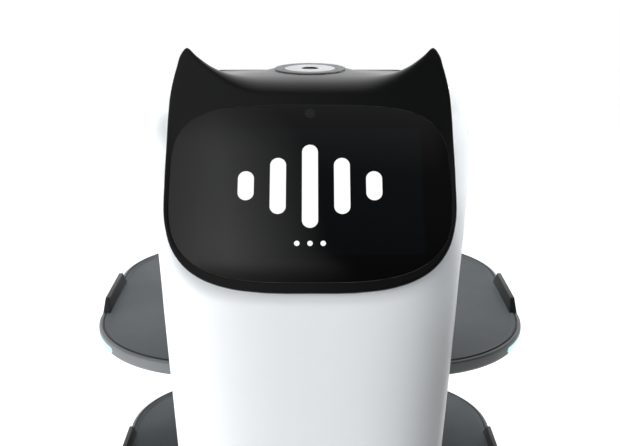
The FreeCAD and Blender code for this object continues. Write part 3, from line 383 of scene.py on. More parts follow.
@dataclass(frozen=True)
class SpeckledFinish(Finish):
    """A soft mat or tread compound with fine lighter specks."""

    speck: str = "7b8083"
    speck_size: float = 0.0016
    speck_core: float = 0.12
    speck_edge: float = 0.3
    speck_share: float = 0.35

    def paint(self, bench: ShaderBench) -> Inputs:
        """Colour the rubber and scatter faint specks over it.

        Args:
            bench: The material's nodes.

        Returns:
            Inputs of the surface.
        """
        cells = bench.add("TexVoronoi", {"Vector": bench.place, "Scale": 1.0 / self.speck_size}).outputs["Distance"]
        specks = bench.spread(cells, self.speck_share, 0.0, self.speck_core, self.speck_edge)
        return {"Base Color": bench.tint(specks, linear(self.colour), linear(self.speck))}


FINISHES = {
    finish.slot: finish
    for finish in (
        Finish(Slot.WHITE_GLOSS, "edf1f4", 0.3, haze=0.015, mottle=0.003, grain=0.03, grain_depth=0.00001),
        Finish(Slot.BLACK_GLOSS, "060708", 0.25, haze=0.01, ior=1.42, mottle=0.08, grain=0.02, grain_depth=0.00001),
        PanelGlassFinish(Slot.FACE_GLASS, "040404", 0.05, haze=0.01, ior=1.62, grain=0.0),
        Finish(Slot.DISPLAY, "101314", 0.3),
        Finish(Slot.RING_GREY, "6a6e71", 0.42, grain=0.35),
        Finish(Slot.DISC_GREY, "d3d6d8", 0.3, mottle=0.02),
        Finish(Slot.LENS_DARK, "1b1d1e", 0.2, grain=0.0),
        Finish(Slot.CARRIER_GREY, "65696b", 0.38, grain=0.3, grain_size=0.0007),
        Finish(Slot.LINER_BLACK, "2b2c2d", 0.36, grain=0.35, grain_size=0.0007, mottle=0.08),
        SpeckledFinish(Slot.MAT_GREY, "5c6163", 0.72, grain=0.7, grain_size=0.0012, grain_depth=0.0001),
        GlowFinish(Slot.LIGHT_CYAN, "c8f8fc", 0.3, grain=0.0),
        BrushedFinish(Slot.METAL_PLATE, "c3c5c8", 0.34, metallic=0.9, mottle=0.05),
        Finish(Slot.METAL_DARK, "252627", 0.5, grain=0.6, grain_depth=0.00006),
        BrushedFinish(Slot.SPRING_STEEL, "b7b9bb", 0.25, metallic=1.0, mottle=0.06),
        Finish(Slot.HOUSING_BLACK, "1b1c1d", 0.5, grain=0.55, grain_depth=0.00005),
        SpeckledFinish(Slot.RUBBER_BLACK, "171718", 0.78, speck="2e2f30", grain=0.8, grain_depth=0.00012),
        BrushedFinish(Slot.HUB_GREY, "a5a8ab", 0.38, metallic=0.85, mottle=0.07, along=(1.0, 0.1, 1.0)),
        Finish(Slot.STOP_RED, "c41a16", 0.3, mottle=0.05, coat=0.4),
        Finish(Slot.BUTTON_WHITE, "e6e7e8", 0.34, mottle=0.02),
        Finish(Slot.TINTED_WINDOW, "0b0b0e", 0.06, coat=0.6, grain=0.0),
    )
}
LIT_MARK = GlowFinish(Slot.DISPLAY, "ffffff", 0.3, grain=0.0, soft_core=0.0, suffix="_mark")


# ------------------------------------------------------------ bench tools
class Space(NamedTuple):
    """The room that a CAD node takes up."""

    low: Vector
    high: Vector

    @property
    def middle(self) -> Vector:
        """The point half way between its corners."""
        return (self.low + self.high) / 2

    @property
    def half(self) -> Vector:
        """Half its size along each axis."""
        return (self.high - self.low) / 2

    def ends(self, axis: Axis) -> tuple[Vector, Vector]:
        """Give the middles of its low and high face along an axis.

        Args:
            axis: The axis.

        Returns:
            Both middles, the low one first.
        """
        start, end = self.middle, self.middle
        start[axis], end[axis] = self.low[axis], self.high[axis]
        return start, end


@cache
def space_of(node: str) -> Space:
    """Give the room that a CAD node takes up, looked up once."""
    return Space(*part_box(node))


def deselect() -> None:
    """Leave nothing selected."""
    bpy.ops.object.select_all(action="DESELECT")


def leg_of(stops: Sequence[float], at: float) -> tuple[int, float]:
    """Find the leg between two stops that a place falls in.

    Args:
        stops: Rising places.
        at: The place.

    Returns:
        The leg's number and how far along it the place is, as a share.
    """
    k = sum(at > stop for stop in stops[1:-1])
    return k, (at - stops[k]) / (stops[k + 1] - stops[k])


def smooth_between(places: Sequence[float], rows: Sequence[Numbers], at: float) -> list[float]:
    """Read a row of numbers from a smooth curve through given rows.

    Args:
        places: Rising places of the given rows.
        rows: The numbers at each place.
        at: The place to read.

    Returns:
        The numbers there.
    """
    last = len(places) - 1
    k, u = leg_of(places, at)
    u = min(1.0, max(0.0, u))
    span = places[k + 1] - places[k]

    def rate(a: int, b: int, j: int) -> float:
        """Give how fast a number changes between two rows."""
        return (rows[b][j] - rows[a][j]) / (places[b] - places[a])

    def slope(i: int, j: int) -> float:
        """Give how fast a number changes at a row, from both its neighbours.

        Args:
            i: The row.
            j: Which of its numbers.

        Returns:
            The change for each unit of place.
        """
        a, b = max(i - 1, 0), min(i + 1, last)
        if i in (0, last):
            return rate(a, b, j)
        share = (places[i] - places[a]) / (places[b] - places[a])
        return rate(a, i, j) * (1.0 - share) + rate(i, b, j) * share

    def bend(j: int) -> float:
        """Give one number at the place.

        Args:
            j: Which of the row's numbers.

        Returns:
            The number.
        """
        rise = (3.0 - 2.0 * u) * u * u
        level = rows[k][j] * (1.0 - rise) + rows[k + 1][j] * rise
        return level + span * u * (1.0 - u) * (slope(k, j) * (1.0 - u) - slope(k + 1, j) * u)

    return [bend(j) for j in range(len(rows[0]))]


def rim(axis: Axis, at: float, side: int = 1) -> Test:
    """Test for edges that run across an axis, at one end of it.

    Args:
        axis: The axis.
        at: Where the end is.
        side: 1 for the high end, -1 for the low one.

    Returns:
        The test.
    """
    return lambda c, d: abs(d[axis]) < ACROSS and (c[axis] - at) * side > -NEAR


def end_edges(axis: Axis, at: float, side: int = 1) -> Test:
    """Test for all edges at one end of an axis, as rim does."""
    return lambda c, d: (c[axis] - at) * side > -NEAR


def facing(axis: Axis, at: float = -math.inf) -> Test:
    """Test for faces that look along an axis and lie at or above a level of it."""
    return lambda c, n: n[axis] > ALONG and c[axis] > at - NEAR


def running(axis: Axis) -> Test:
    """Test for edges that run along an axis."""
    return lambda c, d: abs(d[axis]) > ALONG


def rounding(steps: int, run: float, rise: float) -> Iterator[tuple[float, float]]:
    """Divide a quarter round into insets.

    Args:
        steps: How many insets.
        run: How far in the round reaches.
        rise: How high it reaches.

    Yields:
        How far in and how high each inset ends.
    """
    for i in range(1, steps + 1):
        turn = math.pi / 2 * i / steps
        yield run * (1.0 - math.cos(turn)), rise * math.sin(turn)


def outside_plan(point: Vector, low: Sequence[float], high: Vector, corner: float, margin: float) -> bool:
    """Say whether a point lies on the outline of a rounded rectangle in plan.

    Args:
        point: The point.
        low: Lowest corner of the rectangle.
        high: Highest corner of the rectangle.
        corner: Radius of its corners.
        margin: How far inside the outline still counts.

    Returns:
        True on the outline.
    """
    dx, dy = (max(0.0, low[i] + corner - point[i], point[i] - (high[i] - corner)) for i in (Axis.X, Axis.Y))
    return math.hypot(dx, dy) > corner - margin


class Workpiece:
    """One mesh on the bench, started from a primitive and shaped in edit mode."""

    def __init__(self, obj: bpy.types.Object, name: str) -> None:
        """Take an object onto the bench and name it."""
        self.obj = obj
        obj.name = obj.data.name = name

    @classmethod
    def started(cls, name: str, size: Numbers = (1.0, 1.0, 1.0)) -> "Workpiece":
        """Take the primitive that was just added, with its place in its mesh.

        Args:
            name: Name of the piece.
            size: How much it is stretched along each axis.

        Returns:
            The piece.
        """
        piece = cls(bpy.context.view_layer.objects.active, name)
        piece.obj.scale = size
        bpy.ops.object.transform_apply(location=True, rotation=True, scale=True)
        return piece

    @classmethod
    def block(cls, name: str, low: Vector, high: Vector) -> "Workpiece":
        """Start from a block between two corners.

        Args:
            name: Name of the piece.
            low: Its lowest corner.
            high: Its highest corner.

        Returns:
            The block.
        """
        deselect()
        bpy.ops.mesh.primitive_cube_add(size=1.0, location=(low + high) / 2)
        return cls.started(name, tuple(high - low))

    @classmethod
    def sheet(cls, name: str, low: Vector, high: Vector, corner: float, steps: int = PLAN_STEPS) -> "Workpiece":
        """Start from a level rectangle with rounded corners, at the low corner's height.

        Args:
            name: Name of the piece.
            low: Lowest corner of the space it fills.
            high: Highest corner of the space it fills.
            corner: Radius of its corners in plan.
            steps: Faces round each corner.

        Returns:
            The flat shape.
        """
        deselect()
        middle = Vector(((low.x + high.x) / 2, (low.y + high.y) / 2, low.z))
        bpy.ops.mesh.primitive_plane_add(size=1.0, location=middle)
        piece = cls.started(name, (high.x - low.x, high.y - low.y, 1.0))
        return piece.pick(Pick.CORNERS, lambda c, n: True).bevel(corner, steps, "VERTICES")

    @classmethod
    def plate(cls, name: str, low: Vector, high: Vector, corner: float) -> "Workpiece":
        """Start from a closed plate with rounded corners, as sheet does."""
        return cls.sheet(name, low, high, corner).raised(high.z - low.z)

    @classmethod
    def hoop(cls, name: str, low: Vector, high: Vector, corner: float, wall: float) -> "Workpiece":
        """Start from an upright band of some wall round a rounded rectangle, as sheet does."""
        piece = cls.sheet(name, low, high, corner)
        return piece.all_selected().inset(wall).remove_faces().raised(high.z - low.z)

    @classmethod
    def rod(cls, name: str, radius: float, start: Vector, end: Vector, sides: int = 64) -> "Workpiece":
        """Start from a round bar.

        Args:
            name: Name of the piece.
            radius: Its radius.
            start: Middle of its first end.
            end: Middle of its other end.
            sides: Faces round it.

        Returns:
            The bar.
        """
        deselect()
        along = end - start
        turn = along.to_track_quat("Z", "Y").to_euler()
        bpy.ops.mesh.primitive_cylinder_add(
            vertices=sides, radius=radius, depth=along.length, location=(start + end) / 2, rotation=turn
        )
        return cls.started(name)

    @classmethod
    def rod_in(cls, name: str, node: str, axis: Axis, sides: int) -> "Workpiece":
        """Start from a round bar that fills a CAD node's space along an axis."""
        return cls.rod(name, space_of(node).half.z, *space_of(node).ends(axis), sides)

    @classmethod
    def weave(cls, name: str, columns: int, rows: int, rule: Callable[[float, float], Vector]) -> "Workpiece":
        """Start from a grid and lay it over a curved surface.

        Args:
            name: Name of the piece.
            columns: Faces across.
            rows: Faces up.
            rule: Gives the place of a grid point from its two shares of 0 to 1.

        Returns:
            The surface, with its seam still open.
        """
        deselect()
        bpy.ops.mesh.primitive_grid_add(x_subdivisions=columns, y_subdivisions=rows, size=1.0)
        piece = cls.started(name)
        for corner in piece.obj.data.vertices:
            corner.co = rule(corner.co.x + 0.5, corner.co.y + 0.5)
        return piece

    def hold(self) -> None:
        """Make this the one selected and active object."""
        deselect()
        self.obj.select_set(True)
        bpy.context.view_layer.objects.active = self.obj

    @contextmanager
    def editing(self) -> Iterator[bpy.types.Mesh]:
        """Open the mesh in edit mode for a few steps.

        Yields:
            The mesh.
        """
        self.hold()
        bpy.ops.object.mode_set(mode="EDIT")
        try:
            yield self.obj.data
        finally:
            bpy.ops.object.mode_set(mode="OBJECT")

    def pick(self, kind: Pick, test: Test) -> "Workpiece":
        """Select faces, edges or corners by their place and direction.

        Args:
            kind: What to select.
            test: Says yes or no to a middle point and a direction.

        Returns:
            This piece, for the next step.
        """
        with self.editing() as mesh:
            bpy.ops.mesh.select_mode(type=kind.value)
            bpy.ops.mesh.select_all(action="DESELECT")
            bench = bmesh.from_edit_mesh(mesh)
            if kind is Pick.FACES:
                for face in bench.faces:
                    face.select_set(test(face.calc_center_median(), face.normal))
            elif kind is Pick.EDGES:
                for edge in bench.edges:
                    a, b = edge.verts[0].co, edge.verts[1].co
                    edge.select_set(test((a + b) / 2, (b - a).normalized()))
            else:
                for corner in bench.verts:
                    corner.select_set(test(corner.co, corner.normal))
            bmesh.update_edit_mesh(mesh)
        return self

    def work(self, operator: Callable[..., set[str]], **settings: object) -> "Workpiece":
        """Run one mesh operator on what is selected.

        Args:
            operator: The operator.
            **settings: Its settings.

        Returns:
            This piece, for the next step.
        """
        with self.editing():
            operator(**settings)
        return self

    def faces(self, test: Test) -> "Workpiece":
        """Select faces."""
        return self.pick(Pick.FACES, test)

    def soften(self, test: Test, width: float, steps: int) -> "Workpiece":
        """Round the edges that pass a test."""
        return self.pick(Pick.EDGES, test).bevel(width, steps, "EDGES")

    def bevel(self, width: float, steps: int, kind: str) -> "Workpiece":
        """Round the selected EDGES, or VERTICES of a flat shape."""
        return self.work(bpy.ops.mesh.bevel, offset=width, segments=steps, affect=kind)

    def extrude(self, x: float, y: float, z: float) -> "Workpiece":
        """Pull the selection out by an offset."""
        return self.work(bpy.ops.mesh.extrude_region_move, TRANSFORM_OT_translate={"value": (x, y, z)})

    def shift(self, x: float, y: float, z: float) -> "Workpiece":
        """Move the selection."""
        return self.work(bpy.ops.transform.translate, value=(x, y, z))

    def inset(self, width: float, depth: float = 0.0, each: bool = False) -> "Workpiece":
        """Shrink the selected faces inside their own edge, or each face by itself."""
        return self.work(bpy.ops.mesh.inset, thickness=width, depth=depth, use_individual=each)

    def stepped(self, insets: Sequence[Numbers]) -> "Workpiece":
        """Shrink the selected faces again and again.

        Args:
            insets: Width and depth of each step.

        Returns:
            This piece, for the next step.
        """
        for width, depth in insets:
            self.inset(width, depth)
        return self

    def remove_faces(self) -> "Workpiece":
        """Delete the selected faces."""
        return self.work(bpy.ops.mesh.delete, type="FACE")

    def all_selected(self) -> "Workpiece":
        """Select the whole mesh."""
        return self.work(bpy.ops.mesh.select_all, action="SELECT")

    def raised(self, height: float) -> "Workpiece":
        """Pull the whole flat shape up and close it."""
        return self.all_selected().extrude(0.0, 0.0, height).merged()

    def merged(self, outward: bool = True, distance: float = 0.00002) -> "Workpiece":
        """Merge doubled corners and point the faces outwards.

        Args:
            outward: Whether the faces are turned.
            distance: How near two corners are when they are merged.

        Returns:
            This piece, for the next step.
        """
        self.all_selected().work(bpy.ops.mesh.remove_doubles, threshold=distance)
        return self.work(bpy.ops.mesh.normals_make_consistent, inside=False) if outward else self

    def skinned(self, test: Callable[[Vector, Vector], float]) -> "Workpiece":
        """Close a woven skin, turn it the right way round and shade it.

        Args:
            test: Gives a positive number where a face points the right way.

        Returns:
            This piece, for the next step.
        """
        self.merged(outward=False)
        if sum(test(p.center, p.normal) * p.area for p in self.obj.data.polygons) < 0.0:
            self.all_selected().work(bpy.ops.mesh.flip_normals)
        return self.smooth(60.0)

    def cut(self, *tools: "Workpiece") -> "Workpiece":
        """Cut other pieces' shapes out of this one and drop them.

        Args:
            *tools: The pieces that cut.

        Returns:
            This piece, for the next step.
        """
        for tool in tools:
            modifier = self.obj.modifiers.new("cut", "BOOLEAN")
            modifier.operation, modifier.solver, modifier.object = "DIFFERENCE", "EXACT", tool.obj
            self.hold()
            bpy.ops.object.modifier_apply(modifier=modifier.name)
            bpy.data.objects.remove(tool.obj, do_unlink=True)
        return self

    def add(self, *others: "Workpiece") -> "Workpiece":
        """Join other pieces into this one's mesh.

        Args:
            *others: The other pieces.

        Returns:
            This piece, for the next step.
        """
        self.hold()
        for other in others:
            other.obj.select_set(True)
        bpy.ops.object.join()
        return self

    def smooth(self, angle_deg: float = 30.0) -> "Workpiece":
        """Shade smoothly, with crisp edges where faces turn by more than an angle.

        Args:
            angle_deg: The angle.

        Returns:
            This piece, for the next step.
        """
        self.hold()
        bpy.ops.object.shade_smooth_by_angle(angle=math.radians(angle_deg))
        return self

    def copy(self, name: str, matrix: Matrix) -> "Workpiece":
        """Copy the piece with its own mesh, moved or mirrored.

        Args:
            name: Name of the copy.
            matrix: How the copy's mesh is moved.

        Returns:
            The copy.
        """
        twin = self.obj.copy()
        twin.pop("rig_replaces", None)  # the copy stands for nodes of its own
        twin.data = self.obj.data.copy()
        bpy.context.scene.collection.objects.link(twin)
        twin.data.transform(matrix)
        if matrix.determinant() < 0.0:
            twin.data.flip_normals()
        return Workpiece(twin, name)

    def fit(self, body: str, slot: Slot, *nodes: str, finish: Finish | None = None) -> "Workpiece":
        """Dress the piece and fix it to its body.

        Args:
            body: The body it rides on.
            slot: The slot its finish comes from.
            *nodes: CAD nodes that it stands for.
            finish: Another finish than the slot's own.

        Returns:
            This piece.
        """
        self.obj.data.materials.clear()
        self.obj.data.materials.append((finish or FINISHES[slot]).material)
        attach(self.obj, body)
        if nodes:
            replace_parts(self.obj, *nodes)
        log.info("%s rides on %s: %d faces", self.obj.name, body, len(self.obj.data.polygons))
        return self


# -------------------------------------------------------------------- face
@dataclass(frozen=True)
class FacePlane:
    """The leaning plane of the face: s across, t up along it, w outwards."""

    lean_deg: float = 37.0
    glass_low: float = -0.0933
    glass_top: float = 0.0907

    @cached_property
    def rise(self) -> Vector:
        """The direction up along the face."""
        lean = math.radians(self.lean_deg)
        return Vector((0.0, math.sin(lean), math.cos(lean)))

    @cached_property
    def outward(self) -> Vector:
        """The direction that the face looks in."""
        return Vector((0.0, -self.rise.z, self.rise.y))

    @cached_property
    def origin(self) -> Vector:
        """The middle of the face plane."""
        low, high = space_of("face_glass")
        return Vector((0.0, low.y - self.rise.y * self.glass_low, high.z - self.rise.z * self.glass_top))

    def at(self, s: float, t: float, w: float) -> Vector:
        """Give the place of a point of the face in the robot's frame."""
        return self.origin + Vector((s, 0.0, 0.0)) + self.rise * t + self.outward * w


@dataclass(frozen=True)
class GlassOutline:
    """Squared oval of the face glass."""

    half: float = 0.1362
    top: float = 0.0907
    low: float = -0.0933
    top_power: float = 3.96
    low_power: float = 3.2

    def at(self, angle_deg: float, grow: float = 0.0) -> tuple[float, float]:
        """Give the point of the outline at an angle.

        Args:
            angle_deg: 0 at the right, 90 at the top.
            grow: How far outside the glass edge the outline lies.

        Returns:
            The point's s and t.
        """
        c, s = math.cos(math.radians(angle_deg)), math.sin(math.radians(angle_deg))
        power, reach = (self.top_power, self.top) if s >= 0.0 else (self.low_power, -self.low)
        x = (self.half + grow) * math.copysign(abs(c) ** (2.0 / power), c)
        return x, (reach + grow) * math.copysign(abs(s) ** (2.0 / power), s)


@dataclass(frozen=True)
class Hood:
    """The black one-piece hood: rim, forehead, ears and level top."""

    plane: FacePlane
    glass: GlassOutline = GlassOutline()
    half: float = 0.1413
    widest: float = 0.012
    chin: float = -0.1041
    chin_tuck: float = 0.0105
    chin_power: float = 3.27
    chin_rounds: Numbers = (0.003, 0.003, 0.0)
    seam_inset: float = 0.993
    wall_inset: float = 0.994
    glass_gap: float = 0.0002
    glass_sunk: float = 0.0004
    rim_depth: float = 0.0045
    lip: float = 0.003
    lip_drop: float = 0.002
    lip_fade: float = 0.05
    least_round: float = 0.0001
    round_shares: Numbers = (0.9, 0.6, 0.38, 0.9)
    depth: float = 0.026
    seam_gap: float = 0.004
    columns: int = 260
    rows: int = 40
    seat_below_ring: float = 0.0012
    pedestal_reach: float = 0.014
    pedestal_inner: float = 0.0388
    pedestal_outer: float = 0.0600
    stops: Numbers = (0.0, 0.05, 0.20, 0.50, 0.58, 0.78, 0.95, 1.0)
    chin_angles: tuple[int, ...] = (-90, -80, -68, -55, -42, -28, -14, 0)
    ear: tuple[tuple, ...] = (
        (7.3, (0.1413, 0.046), None, None, (0.0032, 0.004, 0.0)),
        (23.5, (0.1413, 0.080), None, None, (0.0035, 0.005, 0.0)),
        (31.0, (0.1405, 0.1015), (0.1398, -0.0935, 1.2365), (0.1382, -0.0800, 1.2290), (0.004, 0.005, 0.006)),
        (38.0, (0.1383, 0.1200), (0.1378, -0.0845, 1.2500), (0.1365, -0.0700, 1.2395), (0.0045, 0.006, 0.012)),
        (44.0, (0.1352, 0.1355), (0.1360, -0.0700, 1.2580), (0.1355, -0.0540, 1.2455), (0.005, 0.006, 0.014)),
        (48.5, (0.1320, 0.1490), (0.1335, -0.0540, 1.2590), (0.1345, -0.0400, 1.2480), (0.005, 0.006, 0.016)),
        (53.0, (0.1262, 0.1570), (0.1270, -0.0350, 1.2550), (0.1325, -0.0120, 1.2490), (0.005, 0.006, 0.020)),
        (57.5, (0.1162, 0.1478), (0.1130, -0.0330, 1.2565), (0.1280, 0.0120, 1.2495), (0.006, 0.008, 0.022)),
        (63.0, (0.1016, 0.1354), (0.0970, -0.0430, 1.2590), (0.1140, 0.0310, 1.2500), (0.008, 0.010, 0.026)),
        (70.0, (0.0847, 0.1255), (0.0800, -0.0500, 1.2605), (0.0920, 0.0390, 1.2502), (0.011, 0.015, 0.030)),
        (78.5, (0.0603, 0.1178), (0.0580, -0.0380, 1.2612), (0.0630, 0.0402, 1.2505), (0.014, 0.028, 0.036)),
        (86.0, (0.0300, 0.1163), (0.0295, -0.0330, 1.2614), (0.0300, 0.0408, 1.2508), (0.015, 0.034, 0.040)),
        (90.0, (0.0000, 0.1162), (0.0000, -0.0320, 1.2614), (0.0000, 0.0410, 1.2510), (0.015, 0.034, 0.040)),
    )

    def rib(
        self, glass: Numbers, corner: Numbers, turn: Numbers | None, seam: Numbers | None, rounds: Numbers
    ) -> Numbers:
        """Pack one cross-cut into numbers.

        Args:
            glass: Glass edge as s and t.
            corner: Outer corner as s and t.
            turn: Second corner in the robot's frame, or None for a plain side wall.
            seam: Back seam in the robot's frame, or None for a plain side wall.
            rounds: Rounding before and after the corner, and at the turn.

        Returns:
            Glass edge, outer corner, turn and seam as points, then the roundings.
        """
        edge = self.plane.at(*glass, -self.glass_sunk)
        outer = self.plane.at(*corner, 0.0)
        wall = self.plane.at(corner[0] * self.wall_inset, corner[1] * self.wall_inset, -self.depth)
        back = Vector(seam) if seam else wall
        middle = Vector(turn) if turn else (outer + back) / 2
        return (*edge, *outer, *middle, *back, *rounds)

    def chin_rib(self, angle_deg: float) -> Numbers:
        """Describe the cross-cut at an angle below the widest point.

        Args:
            angle_deg: -90 at the chin, 0 at the side.

        Returns:
            The cross-cut's numbers.
        """
        power, angle = 2.0 / self.chin_power, math.radians(angle_deg)
        share = abs(math.sin(angle)) ** power
        x, t = self.half * max(0.0, math.cos(angle)) ** power, self.widest - (self.widest - self.chin) * share
        seam = self.plane.at(x * self.seam_inset, t + self.chin_tuck * share, -self.depth)
        return self.rib(self.glass.at(angle_deg, self.glass_gap), (x, t), None, tuple(seam), self.chin_rounds)

    def rib_point(self, rib: Sequence[float], share: float) -> Vector:
        """Give a point along one cross-cut.

        Args:
            rib: The cross-cut's numbers.
            share: 0 inside the glass edge, 1 under the back seam.

        Returns:
            The point.
        """
        edge, corner, turn, seam = (Vector(rib[i : i + 3]) for i in (0, 3, 6, 9))
        before, after, late = rib[12], rib[13], max(rib[14], self.least_round)
        shares = self.round_shares

        def back(start: Vector, end: Vector, length: float, most: float) -> Vector:
            """Give the point at a length along a line, and at most a share of it."""
            return start + (end - start).normalized() * min(length, (end - start).length * most)

        a, b = back(corner, edge, before, shares[0]), back(corner, turn, after, shares[1])
        e, f = back(turn, corner, late, shares[2]), back(turn, seam, late, shares[3])
        out = self.plane.outward
        inward = -math.copysign(self.lip, seam.x) * min(1.0, abs(seam.x) / self.lip_fade)
        tuck = seam - out * self.lip + Vector((inward, 0.0, -self.lip_drop))
        legs = ((edge - out * self.rim_depth, edge), (edge, a), (a, corner, b), (b, e), (e, turn, f), (f, seam))
        k, u = leg_of(self.stops, share)
        leg = (*legs, (seam, tuck))[k]
        while len(leg) > 1:
            leg = [p.lerp(q, u) for p, q in zip(leg, leg[1:])]
        return leg[0]

    def lifted(self, point: Vector) -> Vector:
        """Raise the low cone that the top camera sits on.

        Args:
            point: A point of the hood.

        Returns:
            The point, raised where it is near the camera.
        """
        seat = space_of("top_camera_disc")
        if point.z < seat.high.z - self.pedestal_reach:
            return point
        r = (point - seat.middle).to_2d().length
        q = min(1.0, max(0.0, (r - self.pedestal_inner) / (self.pedestal_outer - self.pedestal_inner)))
        rise = max(0.0, seat.high.z - self.seat_below_ring - point.z) * (1.0 - q) ** 2
        return point + Vector((0.0, 0.0, rise))

    def build(self) -> None:
        """Weave the hood's skin and put it in place."""
        right = [self.chin_rib(angle) for angle in self.chin_angles]
        right += [self.rib(self.glass.at(angle), *rest) for angle, *rest in self.ear]
        left = [tuple(-v if i in (0, 3, 6, 9) else v for i, v in enumerate(rib)) for rib in reversed(right[:-1])]
        loop = right + left
        places = [0.0]
        for first, second in zip(loop, loop[1:]):
            places.append(places[-1] + (Vector(first[3:6]) - Vector(second[3:6])).length + self.seam_gap)
        ring, step = places[-1], places[1]
        places = [-step, *places, ring + step]
        ribs = [loop[-2], *loop, loop[1]]

        @cache
        def rib_at(column: int) -> list[float]:
            """Give the cross-cut of one column of the grid."""
            return smooth_between(places, ribs, column / self.columns * ring)

        def rule(u: float, v: float) -> Vector:
            """Lay one grid point on the hood."""
            return self.lifted(self.rib_point(rib_at(round(u * self.columns)), v))

        piece = Workpiece.weave("hood_skin", self.columns, self.rows, rule)
        piece.skinned(lambda c, n: n.dot(self.plane.outward)).fit("body", Slot.BLACK_GLOSS, "head_hood")


@dataclass(frozen=True)
class FaceGlass:
    """The dark glass with its lit marks and the small front camera."""

    plane: FacePlane
    outline: GlassOutline = GlassOutline()
    thick: float = 0.0038
    sunk: float = 0.0002
    edge: float = 0.0006
    steps: int = 200
    bar_heights: Numbers = (0.030, 0.058, 0.086, 0.058, 0.030)
    bar_width: float = 0.0155
    bar_pitch: float = 0.031
    bar_middle: float = 0.004
    dot_count: int = 3
    dot_size: float = 0.0052
    dot_pitch: float = 0.0125
    dot_middle: float = -0.0545
    mark_round: float = 0.999
    mark_steps: int = 10
    mark_thick: float = 0.00025
    mark_sunk: float = 0.0001
    camera_t: float = 0.081
    camera_radius: float = 0.0052
    camera_depth: float = 0.0012
    camera_proud: float = 0.00005

    def build(self) -> None:
        """Make the glass and what shows on it."""
        self.build_pane()
        self.build_marks()
        self.build_camera()

    def build_pane(self) -> None:
        """Make the pane with a rounded front edge."""
        deselect()
        bpy.ops.mesh.primitive_circle_add(vertices=self.steps, radius=1.0, fill_type="NGON")
        pane = Workpiece.started("face_glass_pane")
        for corner in pane.obj.data.vertices:
            angle = math.degrees(math.atan2(corner.co.y, corner.co.x))
            corner.co = self.plane.at(*self.outline.at(angle), -self.thick)
        out, front = self.plane.outward, self.plane.at(0.0, 0.0, -self.thick / 2)
        pane.all_selected().extrude(*(out * (self.thick - self.sunk))).merged()
        pane.soften(lambda c, d: (c - front).dot(out) > 0.0 and abs(d.dot(out)) < 0.3, self.edge, 3)
        pane.smooth().fit("body", Slot.FACE_GLASS, "face_glass")

    def mark(self, s: float, t: float, width: float, height: float) -> Workpiece:
        """Make one thin lit mark with round ends on the glass.

        Args:
            s: Its middle across the face.
            t: Its middle up the face.
            width: Its width.
            height: Its height.

        Returns:
            The mark.
        """
        high = Vector((width / 2, height / 2, 0.0))
        corner = min(width, height) / 2 * self.mark_round
        mark = Workpiece.sheet("level_mark", -high, high, corner, self.mark_steps)
        mark.all_selected().extrude(0.0, 0.0, self.mark_thick)
        for corner in mark.obj.data.vertices:
            x, y, z = corner.co
            corner.co = self.plane.at(s + x, t + y, z - self.sunk - self.mark_sunk)
        return mark.merged()

    def build_marks(self) -> None:
        """Make a plain sound-level sign: bars over a row of dots."""
        middle, last_dot = (len(self.bar_heights) - 1) / 2, (self.dot_count - 1) / 2
        marks = [
            self.mark((i - middle) * self.bar_pitch, self.bar_middle, self.bar_width, height)
            for i, height in enumerate(self.bar_heights)
        ]
        for i in range(self.dot_count):
            marks.append(self.mark((i - last_dot) * self.dot_pitch, self.dot_middle, self.dot_size, self.dot_size))
        whole = marks[0].add(*marks[1:])
        whole.obj.name = "face_level_marks"
        whole.smooth().fit("body", Slot.DISPLAY, finish=LIT_MARK)

    def build_camera(self) -> None:
        """Make the small round camera behind the glass."""
        out = self.plane.outward
        front = self.plane.at(0.0, self.camera_t, self.camera_proud - self.sunk)
        start, end = front - out * self.camera_depth, front + out * self.mark_sunk
        eye = Workpiece.rod("front_camera_eye", self.camera_radius, start, end)
        eye.smooth(25.0).fit("body", Slot.LENS_DARK, "front_camera")


